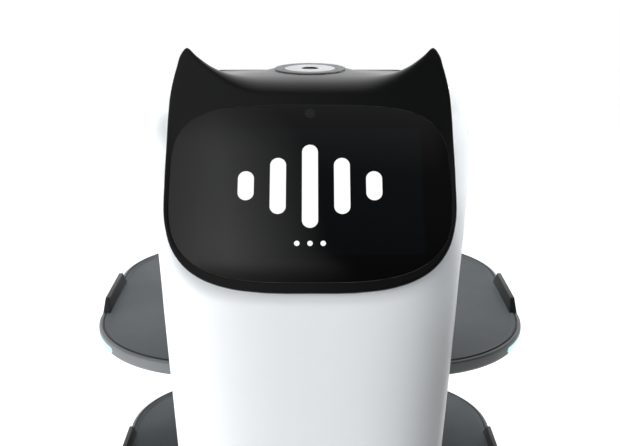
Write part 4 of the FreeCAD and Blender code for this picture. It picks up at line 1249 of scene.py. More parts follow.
@dataclass(frozen=True)
class TopCamera:
    """Grey ring, light disc and dark lens on top of the hood."""

    mic_count: int = 6
    mic_radius: float = 0.0011
    mic_depth: float = 0.0015
    mic_sides: int = 16
    past: float = 0.001
    edge: float = 0.0007
    disc_edge: float = 0.0004
    gap: float = 0.0001
    lens_sunk: float = 0.0003
    lens_lip: float = 0.0006
    lens_depth: float = 0.0042
    lens_steps: Numbers = (0.0022, 0.0022, 0.0016)
    lens_rise: float = 0.0004
    sides: int = 96
    lens_sides: int = 64

    def build(self) -> None:
        """Make the three round pieces."""
        ring_space, disc_space, lens_space = (space_of("top_camera_" + part) for part in ("ring", "disc", "lens"))
        ring_r, disc_r, lens_r = ring_space.half.x, disc_space.half.x, lens_space.half.x
        base, top = ring_space.ends(Axis.Z)
        up = Vector((0.0, 0.0, 1.0))
        past = up * self.past
        ring = Workpiece.rod("top_ring", ring_r, base, top, self.sides)
        ring.cut(Workpiece.rod("tool", disc_r, base - past, top + past, self.sides))
        for i in range(self.mic_count):
            angle = math.radians(90.0 + 360.0 / self.mic_count * i)
            at = top + Vector((math.cos(angle), math.sin(angle), 0.0)) * (ring_r + disc_r) / 2
            ring.cut(Workpiece.rod("tool", self.mic_radius, at - up * self.mic_depth, at + past, self.mic_sides))
        ring.merged()
        ring.soften(
            lambda c, d: c.z > top.z - NEAR and (c - top).to_2d().length > ring_r - self.edge / 2, self.edge, 3
        )
        ring.smooth().fit("body", Slot.RING_GREY, "top_camera_ring")
        disc_top = top - up * self.gap
        disc = Workpiece.rod("top_disc", disc_r - self.gap, base, disc_top, self.sides)
        disc.cut(Workpiece.rod("tool", lens_r, base - past, top + past, self.lens_sides))
        disc.soften(rim(Axis.Z, disc_top.z), self.disc_edge, 2)
        disc.smooth().fit("body", Slot.DISC_GREY, "top_camera_disc")
        foot = Vector((top.x, top.y, lens_space.low.z))
        lens = Workpiece.rod("top_lens", lens_r - self.gap, foot, top - up * self.lens_sunk, self.lens_sides)
        lens.faces(facing(Axis.Z)).inset(self.lens_lip).extrude(0.0, 0.0, -self.lens_depth)
        lens.stepped([(shrink, self.lens_rise) for shrink in self.lens_steps])
        lens.smooth(50.0).fit("body", Slot.LENS_DARK, "top_camera_lens")


# -------------------------------------------------------------------- body
@dataclass(frozen=True)
class BodyShell:
    """White column and head shell in one flowing skin."""

    plane: FacePlane
    column_heights: Numbers = (0.2000, 0.4, 0.6, 0.8, 0.95, 1.02)
    foot_z: float = 0.198
    neck_z: float = 1.0520
    behind_face: float = 0.0060
    bend: float = 0.0060
    set_back: float = 0.0160
    taper: float = 0.047
    top_half: float = 0.1455
    foot_front: float = -0.214
    lean: float = 0.014
    cover_front: float = -0.1512
    corner_depth: float = 0.066
    column_round: float = 0.010
    front_power: float = 3.4
    button_margin: float = 0.0022
    middle_y: float = -0.19
    columns: int = 192
    rows: int = 150
    stops: Numbers = (0.0, 0.46, 0.60, 0.84, 1.0)
    column_rows: float = 0.3
    column_share: float = 0.78
    # height, half width, front, rear, depth of the front curve and rear round;
    # a front of 0 is set back from the leaning face
    head_cuts: tuple[Numbers, ...] = (
        (1.0520, 0.1453, -0.2280, -0.1505, 0.066, 0.012),
        (1.0850, 0.1466, -0.2275, -0.1240, 0.066, 0.022),
        (1.1000, 0.1480, -0.2245, -0.0860, 0.067, 0.030),
        (1.1120, 0.1501, -0.2182, -0.0520, 0.068, 0.034),
        (1.1250, 0.1528, -0.2070, -0.0160, 0.067, 0.040),
        (1.1400, 0.1558, -0.1936, 0.0180, 0.066, 0.044),
        (1.1630, 0.1598, -0.1737, 0.0400, 0.065, 0.046),
        (1.1850, 0.1630, -0.1546, 0.0450, 0.063, 0.046),
        (1.2070, 0.1636, -0.1360, 0.0450, 0.060, 0.046),
        (1.2220, 0.1636, 0.0, 0.0445, 0.056, 0.046),
        (1.2360, 0.1577, 0.0, 0.0444, 0.050, 0.046),
        (1.2450, 0.1490, 0.0, 0.0442, 0.044, 0.046),
        (1.2495, 0.1408, 0.0, 0.0436, 0.040, 0.045),
        (1.2508, 0.1328, 0.0, 0.0428, 0.038, 0.043),
    )

    def front_at(self, z: float) -> float:
        """Give the depth of the sloping front behind the face, at a height."""
        start = self.plane.at(0.0, 0.0, -self.behind_face)
        return start.y + (z - start.z) * math.tan(math.radians(self.plane.lean_deg))

    def levels(self) -> list[Numbers]:
        """List the level cuts from the foot to the top, as head_cuts does.

        Returns:
            The cuts.
        """
        cuts = []
        for z in self.column_heights:
            share = (z - self.foot_z) / (self.neck_z - self.foot_z)
            half, front = self.top_half - self.taper * (self.neck_z - z), self.foot_front - self.lean * share
            cuts.append((z, half, front, self.cover_front, self.corner_depth, self.column_round))
        for z, half, front, *rest in self.head_cuts:
            cuts.append((z, half, front or self.front_at(z) + self.set_back, *rest))
        return cuts

    def around(self, cut: Sequence[float], share: float) -> tuple[float, float]:
        """Give a point of one level cut.

        Args:
            cut: The cut's numbers.
            share: 0 at the front middle, 1 at the rear middle.

        Returns:
            The point's x and y on the right side.
        """
        _, half, front, rear, depth, rear_round = cut
        k, u = leg_of(self.stops, share)
        side, back = math.sin(math.pi / 2 * u), max(0.0, math.cos(math.pi / 2 * u))
        if k == 0:
            fine = 2.0 / self.front_power
            return half * side**fine, front + depth - depth * back**fine
        if k == 1:
            return half, front + depth + (rear - rear_round - front - depth) * u
        if k == 2:
            return half - rear_round + rear_round * back, rear - rear_round + rear_round * side
        return (half - rear_round) * (1.0 - u), rear

    def behind_hood(self, point: Vector) -> Vector:
        """Keep a point of the shell behind the leaning face, with a soft bend where it is cut.

        Args:
            point: The point.

        Returns:
            The point, moved back where it stood in front.
        """
        limit = self.front_at(point.z)
        bend = max(0.0, self.bend - abs(limit - point.y)) / self.bend
        return Vector((point.x, max(point.y, limit) + bend * bend * self.bend / 4.0, point.z))

    def build(self) -> None:
        """Weave the shell, leave the power button's hole open and put it in place."""
        cuts = self.levels()
        heights = [cut[0] for cut in cuts]

        @cache
        def cut_at(row: int) -> list[float]:
            """Give the level cut of one row of the grid."""
            z = heights[0] + (heights[-1] - heights[0]) * self.row_share(row / self.rows)
            return [z, *smooth_between(heights, cuts, z)[1:]]

        def rule(u: float, v: float) -> Vector:
            """Lay one grid point on the shell.

            Args:
                u: 0 and 1 at the rear middle, 0.5 at the front middle.
                v: 0 at the foot, 1 at the top.

            Returns:
                The point.
            """
            cut = cut_at(round(v * self.rows))
            x, y = self.around(cut, abs(2.0 * u - 1.0))
            return self.behind_hood(Vector((math.copysign(x, 2.0 * u - 1.0), y, cut[0])))

        piece = Workpiece.weave("body_shell_skin", self.columns, self.rows, rule)
        button = space_of("power_button")
        middle, reach = button.middle, button.half.z + self.button_margin
        piece.faces(lambda c, n: c.y > 0.0 and math.hypot(c.x - middle.x, c.z - middle.z) < reach).remove_faces()
        piece.skinned(lambda c, n: n.x * c.x + n.y * (c.y - self.middle_y))
        piece.fit("body", Slot.WHITE_GLOSS, "column_front_shell", "head_shell")

    def row_share(self, v: float) -> float:
        """Give the share of the height at a share of the rows, packed closely above the neck."""
        k, u = leg_of((0.0, self.column_rows, 1.0), v)
        return self.column_share + u * (1.0 - self.column_share) if k else u * self.column_share


# ------------------------------------------------------------------- trays
@dataclass(frozen=True)
class Tray:
    """One tray: fixed ring with its arm, loose liner with grips, mat and lights."""

    corner: float = 0.132
    depth: float = 0.392
    ring_width: float = 0.0040
    ring_floor: float = 0.0040
    ring_foot_round: float = 0.0055
    ring_rim_round: float = 0.0024
    arm_half: float = 0.070
    arm_start: float = 0.008
    arm_end: float = 0.190
    arm_overlap: float = 0.001
    arm_round: float = 0.003
    liner_gap: float = 0.0046
    liner_wall: float = 0.0011
    liner_floor: float = 0.0030
    liner_rise: float = 0.0015
    liner_round: float = 0.0004
    grip_first: float = -0.008
    grip_length: float = 0.104
    grip_base: float = 0.0090
    grip_top: float = 0.0050
    grip_inset: float = 0.0010
    grip_lift: float = 0.0004
    grip_taper: float = 0.001
    grip_front_slope: float = 0.005
    grip_rear_slope: float = 0.017
    grip_round: float = 0.0011
    grip_sharp: float = 0.0016
    mat_gap: float = 0.0059
    mat_rise: float = 0.0009
    mat_lip: float = 0.0013
    mat_slope: float = 0.0040
    mat_dip: float = 0.0026
    mat_round: float = 0.0006
    light_low: float = 0.012
    light_high: float = 0.005
    light_first_deg: float = -39.0
    light_last_deg: float = 5.0
    light_end: float = 0.0035
    light_proud: float = 0.0001
    light_bulge: float = 0.0004
    light_grid: tuple[int, int] = (48, 8)

    @cached_property
    def space(self) -> Space:
        """The room that the top tray's ring takes up, without its arm."""
        low, high = space_of("tray_carrier_1")
        return Space(Vector((low.x, high.y - self.depth, high.z - TRAY_HEIGHT)), high)

    def plan(self, name: str, gap: float, low_z: float, high_z: float) -> Workpiece:
        """Start a plate that lies a gap inside the ring's outline.

        Args:
            name: Name of the piece.
            gap: The gap.
            low_z: Height of its underside.
            high_z: Height of its top.

        Returns:
            The plate.
        """
        (x0, y0, _), (x1, y1, _) = self.space
        return Workpiece.plate(
            name, Vector((x0 + gap, y0 + gap, low_z)), Vector((x1 - gap, y1 - gap, high_z)), self.corner - gap
        )

    def build_ring(self) -> Workpiece:
        """Make the fixed ring with its floor and arm.

        Returns:
            The ring.
        """
        low, high = self.space
        ring = self.plan("tray_ring_1", 0.0, low.z, high.z)
        ring.faces(facing(Axis.Z)).inset(self.ring_width).extrude(0.0, 0.0, self.ring_floor - TRAY_HEIGHT)
        ring.soften(rim(Axis.Z, low.z, -1), self.ring_foot_round, 5)
        at_top, front = rim(Axis.Z, high.z), (low.x, high.y - self.depth)
        ring.soften(
            lambda c, d: at_top(c, d) and outside_plan(c, front, high, self.corner, self.ring_width / 2),
            self.ring_rim_round,
            4,
        )
        foot = space_of("tray_carrier_1").low
        start = Vector((-self.arm_half, foot.y + self.arm_start, foot.z))
        end = Vector((self.arm_half, foot.y + self.arm_end, low.z + self.arm_overlap))
        arm = Workpiece.block("tool", start, end)
        arm.soften(lambda c, d: c.z < foot.z + NEAR or abs(d.z) > ALONG, self.arm_round, 3)
        return ring.add(arm).smooth(32.0)

    def build_liner(self) -> Workpiece:
        """Make the loose liner with both grips.

        Returns:
            The liner.
        """
        low, high = space_of("tray_liner_1")
        top = self.space.high + Vector((-self.liner_gap, 0.0, self.liner_rise))
        start, end = Vector((self.space.low.x + self.liner_gap, low.y, low.z)), Vector((top.x, high.y, top.z))
        liner = Workpiece.plate("tray_liner_skin_1", start, end, self.corner - self.liner_gap)
        liner.faces(facing(Axis.Z)).inset(self.liner_wall).extrude(0.0, 0.0, low.z + self.liner_floor - top.z)
        liner.soften(rim(Axis.Z, top.z), self.liner_round, 2)
        return liner.add(*(self.build_grip(side) for side in Side)).smooth()

    def build_grip(self, side: Side) -> Workpiece:
        """Make one tapered hand grip.

        Args:
            side: Which side it is on.

        Returns:
            The grip.
        """
        outer, foot = self.space.high.x - self.grip_inset, self.space.high.z + self.grip_lift
        inner, first, last = outer - self.grip_base, self.grip_first, self.grip_first + self.grip_length
        top = space_of("tray_liner_1").high.z
        grip = Workpiece.block("tool", Vector((inner, first, foot)), Vector((outer, last, top)))
        left = inner + self.grip_taper
        for corner in grip.obj.data.vertices:
            x, y, z = corner.co
            if z > (foot + top) / 2:
                x = left if x < (inner + outer) / 2 else left + self.grip_top
                y = first + self.grip_front_slope if y < (first + last) / 2 else last - self.grip_rear_slope
            corner.co = (x * side.value, y, z)
        return grip.merged().soften(lambda c, d: c.z > foot + self.grip_sharp, self.grip_round, 3)

    def build_mat(self) -> Workpiece:
        """Make the soft mat with its sloping edge.

        Returns:
            The mat.
        """
        edge = self.space.high.z + self.mat_rise
        mat = self.plan("tray_mat_skin_1", self.mat_gap, space_of("tray_mat_1").low.z, edge)
        mat.faces(facing(Axis.Z)).inset(self.mat_lip).inset(self.mat_slope).shift(0.0, 0.0, -self.mat_dip)
        return mat.soften(rim(Axis.Z, edge - self.mat_dip), self.mat_round, 3).smooth(40.0)

    def build_light(self, side: Side) -> Workpiece:
        """Make one light strip let into a front corner of the ring.

        Args:
            side: Which front corner it is in.

        Returns:
            The strip.
        """
        low, high = self.space
        centre = Vector((high.x - self.corner, low.y + self.corner, high.z - (self.light_low + self.light_high) / 2))
        half = (self.light_low - self.light_high) / 2
        turn = math.radians(self.light_last_deg - self.light_first_deg)

        def rule(u: float, v: float) -> Vector:
            """Lay one grid point on the strip, which bulges and has round ends.

            Args:
                u: Share along the strip, from the front to the side.
                v: Share up the strip.

            Returns:
                The point.
            """
            angle = math.radians(self.light_first_deg) + turn * u
            close = min(1.0, min(u, 1.0 - u) * turn * self.corner / self.light_end)
            squeeze = math.sqrt(max(0.0, 1.0 - (1.0 - close) ** 2))
            across = (v - 0.5) * 2.0
            bulge = self.light_bulge * math.sqrt(max(0.0, 1.0 - across * across)) * squeeze
            r = self.corner + self.light_proud + bulge
            return Vector(
                (
                    side.value * (centre.x + r * math.cos(angle)),
                    centre.y + r * math.sin(angle),
                    centre.z + half * across * squeeze,
                )
            )

        out = Vector((side.value, -0.3, 0.0))
        return Workpiece.weave("tool", *self.light_grid, rule).skinned(lambda c, n: n.dot(out))


@dataclass(frozen=True)
class TrayStack:
    """All four trays, modelled once and copied down the column."""

    tray: Tray = Tray()

    def build(self) -> None:
        """Make the top tray and copy it to the lower levels."""
        ring, liner, mat = self.tray.build_ring(), self.tray.build_liner(), self.tray.build_mat()
        left, right = (self.tray.build_light(side) for side in Side)
        lights = left.add(right)
        lights.obj.name = "tray_light_strips_1"
        top = space_of("tray_carrier_1").high.z
        for n in range(1, TRAY_COUNT + 1):
            drop = Matrix.Translation((0.0, 0.0, space_of("tray_carrier_%d" % n).high.z - top))
            for piece, name, body, slot, node in (
                (ring, "tray_ring_%d", "body", Slot.CARRIER_GREY, "tray_carrier_%d" % n),
                (liner, "tray_liner_skin_%d", "tray_%d" % n, Slot.LINER_BLACK, "tray_liner_%d" % n),
                (mat, "tray_mat_skin_%d", "tray_%d" % n, Slot.MAT_GREY, "tray_mat_%d" % n),
                (lights, "tray_light_strips_%d", "body", Slot.LIGHT_CYAN, "tray_lights"),
            ):
                (piece if n == 1 else piece.copy(name % n, drop)).fit(body, slot, node)


# -------------------------------------------------------------------- base
@dataclass(frozen=True)
class Base:
    """Skirt, roof, bumper and scanner window of the base."""

    corner: float = 0.137
    wall: float = 0.0030
    foot_round: float = 0.0014
    drawer_gap: float = 0.0012
    drawer_round: float = 0.009
    socket_bore: float = 0.0142
    hole_inside: float = 0.03
    hole_outside: float = 0.02
    roof_run: float = 0.0600
    roof_edge: float = 0.001
    roof_steps: int = 10
    bumper_wall: float = 0.0029
    bumper_corner_more: float = 0.003
    bumper_round: float = 0.0024
    window_back: float = -0.0600
    window_wall: float = 0.0022
    window_sunk: float = 0.0008
    seam: float = 0.0006

    def build(self) -> None:
        """Make all four pieces."""
        self.build_skirt()
        self.build_roof()
        self.build_bumper()
        self.build_window()

    def build_skirt(self) -> None:
        """Make the white skirt with its openings."""
        low, high = space_of("base_cover")
        skirt = Workpiece.hoop("base_skirt", low, high, self.corner, self.wall)
        skirt.soften(rim(Axis.Z, low.z, -1), self.foot_round, 3)
        inner, outer = high.y - self.hole_inside, high.y + self.hole_outside
        drawer, socket = space_of("battery_pack"), space_of("charge_socket").middle
        gap = Vector((self.drawer_gap, 0.0, self.drawer_gap))
        start = Vector((drawer.low.x, inner, drawer.low.z)) - gap
        end = Vector((drawer.high.x, outer, drawer.high.z)) + gap
        hole = Workpiece.block("tool", start, end).soften(running(Axis.Y), self.drawer_round, 6)
        start, end = (Vector((socket.x, y, socket.z)) for y in (inner, outer))
        bore = Workpiece.rod("tool", self.socket_bore, start, end)
        start = Vector((low.x - PAST, low.y - PAST, space_of("lidar_window").low.z))
        front = Workpiece.block("tool", start, Vector((high.x + PAST, self.window_back, high.z + PAST)))
        skirt.cut(front, hole, bore).merged().smooth().fit("body", Slot.WHITE_GLOSS, "base_cover")

    def build_roof(self) -> None:
        """Make the white roof that curves in to a level top."""
        low, high = space_of("base_deck")
        roof = Workpiece.sheet("base_roof", low + Vector((0.0, 0.0, self.seam)), high, self.corner)
        roof.raised(self.roof_edge).faces(facing(Axis.Z))
        run, climb = 0.0, self.seam + self.roof_edge
        for next_run, next_climb in rounding(self.roof_steps, self.roof_run, high.z - low.z):
            roof.inset(next_run - run, max(0.0, next_climb - climb))
            run, climb = next_run, max(climb, next_climb)
        roof.smooth(40.0).fit("body", Slot.WHITE_GLOSS, "base_deck")

    def build_bumper(self) -> None:
        """Make the soft strip round the skirt."""
        low, high = space_of("bumper_strip")
        corner = self.corner + self.bumper_corner_more
        strip = Workpiece.hoop("base_bumper", low, high, corner, self.bumper_wall)
        strip.soften(
            lambda c, d: abs(d.z) < ACROSS and outside_plan(c, low, high, corner, self.bumper_wall / 2),
            self.bumper_round,
            4,
        )
        strip.smooth(35.0).fit("body", Slot.RUBBER_BLACK, "bumper_strip")

    def build_window(self) -> None:
        """Make the dark scanner window round the front half."""
        window, cover = space_of("lidar_window"), space_of("base_cover")
        sunk, seam = Vector((self.window_sunk, self.window_sunk, 0.0)), Vector((0.0, 0.0, self.seam))
        low = Vector((*cover.low.xy, window.low.z)) + sunk + seam
        high = Vector((*cover.high.xy, window.high.z)) - sunk - seam
        band = Workpiece.hoop("base_scanner_window", low, high, self.corner - self.window_sunk, self.window_wall)
        start = Vector((low.x - PAST, self.window_back - self.seam, low.z - PAST))
        band.cut(Workpiece.block("tool", start, high + Vector((PAST, PAST, PAST))))
        band.merged().smooth().fit("body", Slot.TINTED_WINDOW, "lidar_window")


@dataclass(frozen=True)
class Wheels:
    """Drive tyres with tread and the caster wheels."""

    shoulder: float = 0.0075
    shoulder_from: float = 0.015
    skin: float = 0.001
    tread_count: int = 54
    tread_depth: float = 0.0030
    tread_half: float = 0.002
    tread_phase: float = 7.0
    groove_gap: float = 0.0016
    groove_slope: float = 0.0004
    caster_count: int = 4
    caster_round: float = 0.0065
    caster_flat_from: float = 0.0118
    caster_sides: int = 72
    caster_insets: tuple[Numbers, ...] = ((0.0045, 0.0), (0.0008, -0.0010), (0.0060, 0.0), (0.0008, 0.0008))

    def build(self) -> None:
        """Make every wheel."""
        tyre = self.build_tyre()
        twin = tyre.copy("drive_tread_left", Matrix.Scale(-1.0, 4, (1.0, 0.0, 0.0)))
        for piece, side in ((tyre, "right"), (twin, "left")):
            piece.fit("drive_wheel_" + side, Slot.RUBBER_BLACK, "drive_tyre_" + side)
        first, home = self.build_caster(), space_of("caster_wheel_1").middle
        for n in range(1, self.caster_count + 1):
            node = "caster_wheel_%d" % n
            step = Matrix.Translation(space_of(node).middle - home)
            wheel = first if n == 1 else first.copy("caster_roller_%d" % n, step)
            wheel.fit("caster_wheel_body_%d" % n, Slot.RUBBER_BLACK, node)

    def build_tyre(self) -> Workpiece:
        """Make one treaded tyre.

        Returns:
            The tyre.
        """
        space, hub = space_of("drive_tyre_right"), space_of("drive_hub_right").half.z
        centre, reach, ends, sides = space.middle, space.half.z, space.ends(Axis.X), self.tread_count * 2

        def is_end(c: Vector, n: Vector) -> bool:
            """Say whether a face closes one end of a rod."""
            return abs(n.x) > ALONG

        def is_shoulder(c: Vector, d: Vector) -> bool:
            """Say whether an edge is an outer edge of the tread."""
            outside = math.hypot(c.y - centre.y, c.z - centre.z) > reach - self.skin
            return abs(d.x) < ACROSS and outside and abs(c.x - centre.x) > self.shoulder_from

        def is_gap(c: Vector, n: Vector) -> bool:
            """Say whether a face of the tread becomes a groove, which every second one does.

            Args:
                c: Its middle.
                n: Its direction.

            Returns:
                True for a groove.
            """
            turn = math.atan2(c.z - centre.z, c.y - centre.y) + self.tread_phase
            outside = math.hypot(c.y - centre.y, c.z - centre.z) > reach - self.skin
            middle = outside and abs(c.x - centre.x) < self.tread_half and abs(n.x) < ACROSS
            return middle and int(turn / (math.pi / self.tread_count)) % 2 == 0

        tyre = Workpiece.rod("drive_tread_right", reach, *ends, sides)
        tyre.faces(is_end).inset(reach - hub).remove_faces()
        bore = Workpiece.rod("tool", hub, *ends, sides).faces(is_end).remove_faces()
        tyre.add(bore).merged().soften(is_shoulder, self.shoulder, 4)
        tyre.faces(is_gap).inset(self.groove_gap, each=True).inset(self.groove_slope, -self.tread_depth, each=True)
        return tyre.smooth(32.0)

    def build_caster(self) -> Workpiece:
        """Make one caster wheel with a rounded tread and a hub ring.

        Returns:
            The wheel.
        """
        middle = space_of("caster_wheel_1").middle
        wheel = Workpiece.rod_in("caster_roller_1", "caster_wheel_1", Axis.X, self.caster_sides)
        wheel.soften(lambda c, d: abs(d.x) < ACROSS, self.caster_round, 5)
        wheel.faces(lambda c, n: abs(n.x) > ALONG and abs(c.x - middle.x) > self.caster_flat_from)
        return wheel.stepped(self.caster_insets).smooth()


# ---------------------------------------------------------------- back side
@dataclass(frozen=True)
class BackPanel:
    """Rear cover with its screws, the battery drawer and the charging socket."""

    edge: float = 0.0012
    foot_narrower: float = 0.0380
    arm_half: float = 0.0712
    arm_gap: float = 0.0010
    screw_radius: float = 0.0040
    screw_sunk: float = 0.0004
    hexagon_radius: float = 0.0019
    hexagon_depth: float = 0.0016
    screw_x: float = 0.030
    screw_z: Numbers = (1.018, 0.857, 0.635, 0.413)
    drawer_round: float = 0.008
    scoop_half: float = 0.040
    scoop_depth: float = 0.013
    scoop_z: Numbers = (0.130, 0.160)
    scoop_round: float = 0.0148
    scoop_back_round: float = 0.005
    socket_edge: float = 0.0015
    socket_radius: float = 0.0075
    socket_depth: float = 0.016
    pin_radius: float = 0.0016
    pin_length: float = 0.011

    def build(self) -> None:
        """Make all the pieces."""
        self.build_cover()
        self.build_screws()
        self.build_battery()
        self.build_socket()

    def build_cover(self) -> None:
        """Make the tapered rear cover with a slot for each tray arm."""
        low, high = space_of("column_rear_cover")
        cover = Workpiece.block("column_back_cover", low, high)
        for corner in cover.obj.data.vertices:
            if corner.co.z < (low.z + high.z) / 2:
                corner.co.x -= math.copysign(self.foot_narrower, corner.co.x)
        cover.soften(end_edges(Axis.Y, high.y), self.edge, 3)
        slots = []
        for n in range(1, TRAY_COUNT + 1):
            arm = space_of("tray_carrier_%d" % n)
            start = Vector((-self.arm_half, low.y - PAST, arm.low.z - self.arm_gap))
            end = Vector((self.arm_half, high.y + PAST, arm.high.z - TRAY_HEIGHT + self.arm_gap))
            slots.append(Workpiece.block("tool", start, end))
        cover.cut(*slots).merged().smooth().fit("body", Slot.WHITE_GLOSS, "column_rear_cover")

    def build_screws(self) -> None:
        """Make one screw head and copy it to every place."""
        x, z, back = -self.screw_x, self.screw_z[0], space_of("cover_screws").high.y
        plate = space_of("column_rear_cover").high.y - self.screw_sunk
        start, end = Vector((x, plate, z)), Vector((x, back, z))
        head = Workpiece.rod("column_screws", self.screw_radius, start, end, 32)
        head.soften(rim(Axis.Y, back), self.edge, 3)
        start, end = Vector((x, back - self.hexagon_depth, z)), Vector((x, back + 0.001, z))
        head.cut(Workpiece.rod("tool", self.hexagon_radius, start, end, 6))
        moves = [Matrix.Translation((across - x, 0.0, up - z)) for up in self.screw_z for across in (x, -x)]
        # the head's own place is among the moves, so that place is filled twice
        head.add(*(head.copy("tool", move) for move in moves))
        head.smooth().fit("body", Slot.SPRING_STEEL, "cover_screws")

    def build_battery(self) -> None:
        """Make the battery drawer with its finger scoop."""
        low, high = space_of("battery_pack")
        pack = Workpiece.block("battery_drawer", low, high)
        pack.soften(running(Axis.Y), self.drawer_round, 6).soften(end_edges(Axis.Y, high.y), self.edge, 3)
        back, (foot, top) = high.y - self.scoop_depth, self.scoop_z
        start, end = Vector((-self.scoop_half, back, foot)), Vector((self.scoop_half, high.y + PAST, top))
        scoop = Workpiece.block("tool", start, end)
        scoop.soften(running(Axis.Y), self.scoop_round, 8)
        scoop.soften(end_edges(Axis.Y, back, -1), self.scoop_back_round, 4)
        pack.cut(scoop).merged().smooth().fit("battery", Slot.HOUSING_BLACK, "battery_pack")

    def build_socket(self) -> None:
        """Make the round charging socket with its centre pin."""
        space = space_of("charge_socket")
        socket = Workpiece.rod_in("charging_socket", "charge_socket", Axis.Y, 64)
        socket.soften(rim(Axis.Y, space.high.y), self.socket_edge, 3)
        socket.faces(facing(Axis.Y, space.high.y)).inset(space.half.z - self.socket_edge - self.socket_radius)
        socket.extrude(0.0, -self.socket_depth, 0.0).inset(self.socket_radius - self.pin_radius)
        socket.extrude(0.0, self.pin_length, 0.0)
        socket.smooth().fit("body", Slot.HOUSING_BLACK, "charge_socket")


@dataclass(frozen=True)
class Controls:
    """Emergency stop and power button on the back of the head."""

    collar_sides: int = 72
    collar_edge: float = 0.0018
    collar_insets: tuple[Numbers, ...] = ((0.0030, 0.0), (0.0008, -0.0010))
    collar_well: float = 0.0120
    collar_well_depth: float = 0.004
    stem_hole: float = 0.0064
    stem_sides: int = 48
    stop_sides: int = 96
    dome_steps: int = 6
    dome_height: float = 0.0060
    dome_flat: float = 0.002
    notch_count: int = 3
    notch_sides: int = 24
    notch_radius: float = 0.0045
    notch_out: float = 0.0022
    notch_below: float = 0.016
    notch_length: float = 0.04
    button_sides: int = 64
    button_edge: float = 0.0010
    button_insets: tuple[Numbers, ...] = ((0.0022, 0.0), (0.0003, -0.0004), (0.0009, 0.0), (0.0003, 0.0004))
    bezel_edge: float = 0.0006
    bezel_gap: float = 0.0004
    bezel_width: float = 0.0056
    bezel_depth: float = 0.0100
    bezel_below: float = 0.0020

    def build(self) -> None:
        """Make the controls."""
        self.build_collar()
        self.build_stop()
        self.build_power()

    def build_collar(self) -> None:
        """Make the collar that the stop button sits in."""
        space, past = space_of("estop_base"), Vector((0.0, PAST, 0.0))
        start, end = space.ends(Axis.Y)
        collar = Workpiece.rod_in("stop_collar", "estop_base", Axis.Y, self.collar_sides)
        collar.soften(rim(Axis.Y, end.y), self.collar_edge, 3)
        collar.faces(facing(Axis.Y, end.y)).stepped(self.collar_insets)
        collar.inset(space.half.z - self.collar_well).extrude(0.0, -self.collar_well_depth, 0.0)
        collar.cut(Workpiece.rod("tool", self.stem_hole, start - past, end + past, self.stem_sides))
        collar.smooth().fit("body", Slot.HOUSING_BLACK, "estop_base")

    def build_stop(self) -> None:
        """Make the red mushroom head with finger notches."""
        space = space_of("estop_cap")
        reach, end = space.half.z, space.ends(Axis.Y)[1]
        stop = Workpiece.rod_in("stop_head", "estop_cap", Axis.Y, self.stop_sides)
        stop.faces(facing(Axis.Y)).shift(0.0, -self.dome_height, 0.0)
        run, rise = 0.0, 0.0
        for next_run, next_rise in rounding(self.dome_steps, reach - self.dome_flat, self.dome_height):
            stop.inset(next_run - run, next_rise - rise)
            run, rise = next_run, next_rise
        stop.merged()
        notches = []
        for i in range(self.notch_count):
            turn = math.radians(90.0 + 360.0 / self.notch_count * i)
            out = Vector((math.cos(turn), 0.0, math.sin(turn))) * (reach + self.notch_out)
            start = end + out - Vector((0.0, self.dome_height + self.notch_below, 0.0))
            notch_end = start + Vector((0.0, self.notch_length, 0.0))
            notches.append(Workpiece.rod("tool", self.notch_radius, start, notch_end, self.notch_sides))
        stop.cut(*notches).smooth(40.0).fit("estop_head", Slot.STOP_RED, "estop_cap")

    def build_power(self) -> None:
        """Make the round power button with a ring mark, and its bezel."""
        space, past = space_of("power_button"), Vector((0.0, PAST, 0.0))
        hole, end = space.half.z + self.bezel_gap, space.ends(Axis.Y)[1]
        button = Workpiece.rod_in("power_key_cap", "power_button", Axis.Y, self.button_sides)
        button.soften(rim(Axis.Y, end.y), self.button_edge, 3)
        button.faces(facing(Axis.Y, end.y)).stepped(self.button_insets)
        button.smooth().fit("power_key", Slot.BUTTON_WHITE, "power_button")
        back, front = (end - Vector((0.0, depth, 0.0)) for depth in (self.bezel_depth, self.bezel_below))
        bezel = Workpiece.rod("power_key_bezel", hole + self.bezel_width, back, front, self.button_sides)
        bezel.soften(rim(Axis.Y, front.y), self.bezel_edge, 3)
        bezel.cut(Workpiece.rod("tool", hole, back - past, front + past, self.button_sides))
        bezel.smooth().fit("body", Slot.WHITE_GLOSS)


@dataclass(frozen=True)
class FrontEye:
    """Tinted window of the depth camera low on the column."""

    corner: float = 0.0145
    edge: float = 0.0008

    def build(self) -> None:
        """Make the window."""
        low, high = space_of("depth_camera_window")
        pane = Workpiece.block("depth_eye_window", low, high)
        pane.soften(running(Axis.Y), self.corner, 10).soften(end_edges(Axis.Y, low.y, -1), self.edge, 2)
        pane.smooth().fit("body", Slot.TINTED_WINDOW, "depth_camera_window")


# ------------------------------------------------------------------ studio
@dataclass(frozen=True)
class Lamp:
    """One soft rectangular lamp, with its power in watts and its beam in degrees."""

    name: str
    place: Numbers
    target: Numbers
    size: Numbers
    power: float
    beam: float = 180.0

    def build(self) -> None:
        """Hang the lamp so that it lights dull surfaces and leaves no spot on glossy ones."""
        data = bpy.data.lights.new(self.name, "AREA")
        data.spread, data.energy, data.shape = math.radians(self.beam), self.power, "RECTANGLE"
        data.size, data.size_y = self.size
        lamp = bpy.data.objects.new(self.name, data)
        lamp.location = self.place
        lamp.rotation_euler = (Vector(self.target) - Vector(self.place)).to_track_quat("-Z", "Y").to_euler()
        lamp.visible_glossy = False
        bpy.context.scene.collection.objects.link(lamp)


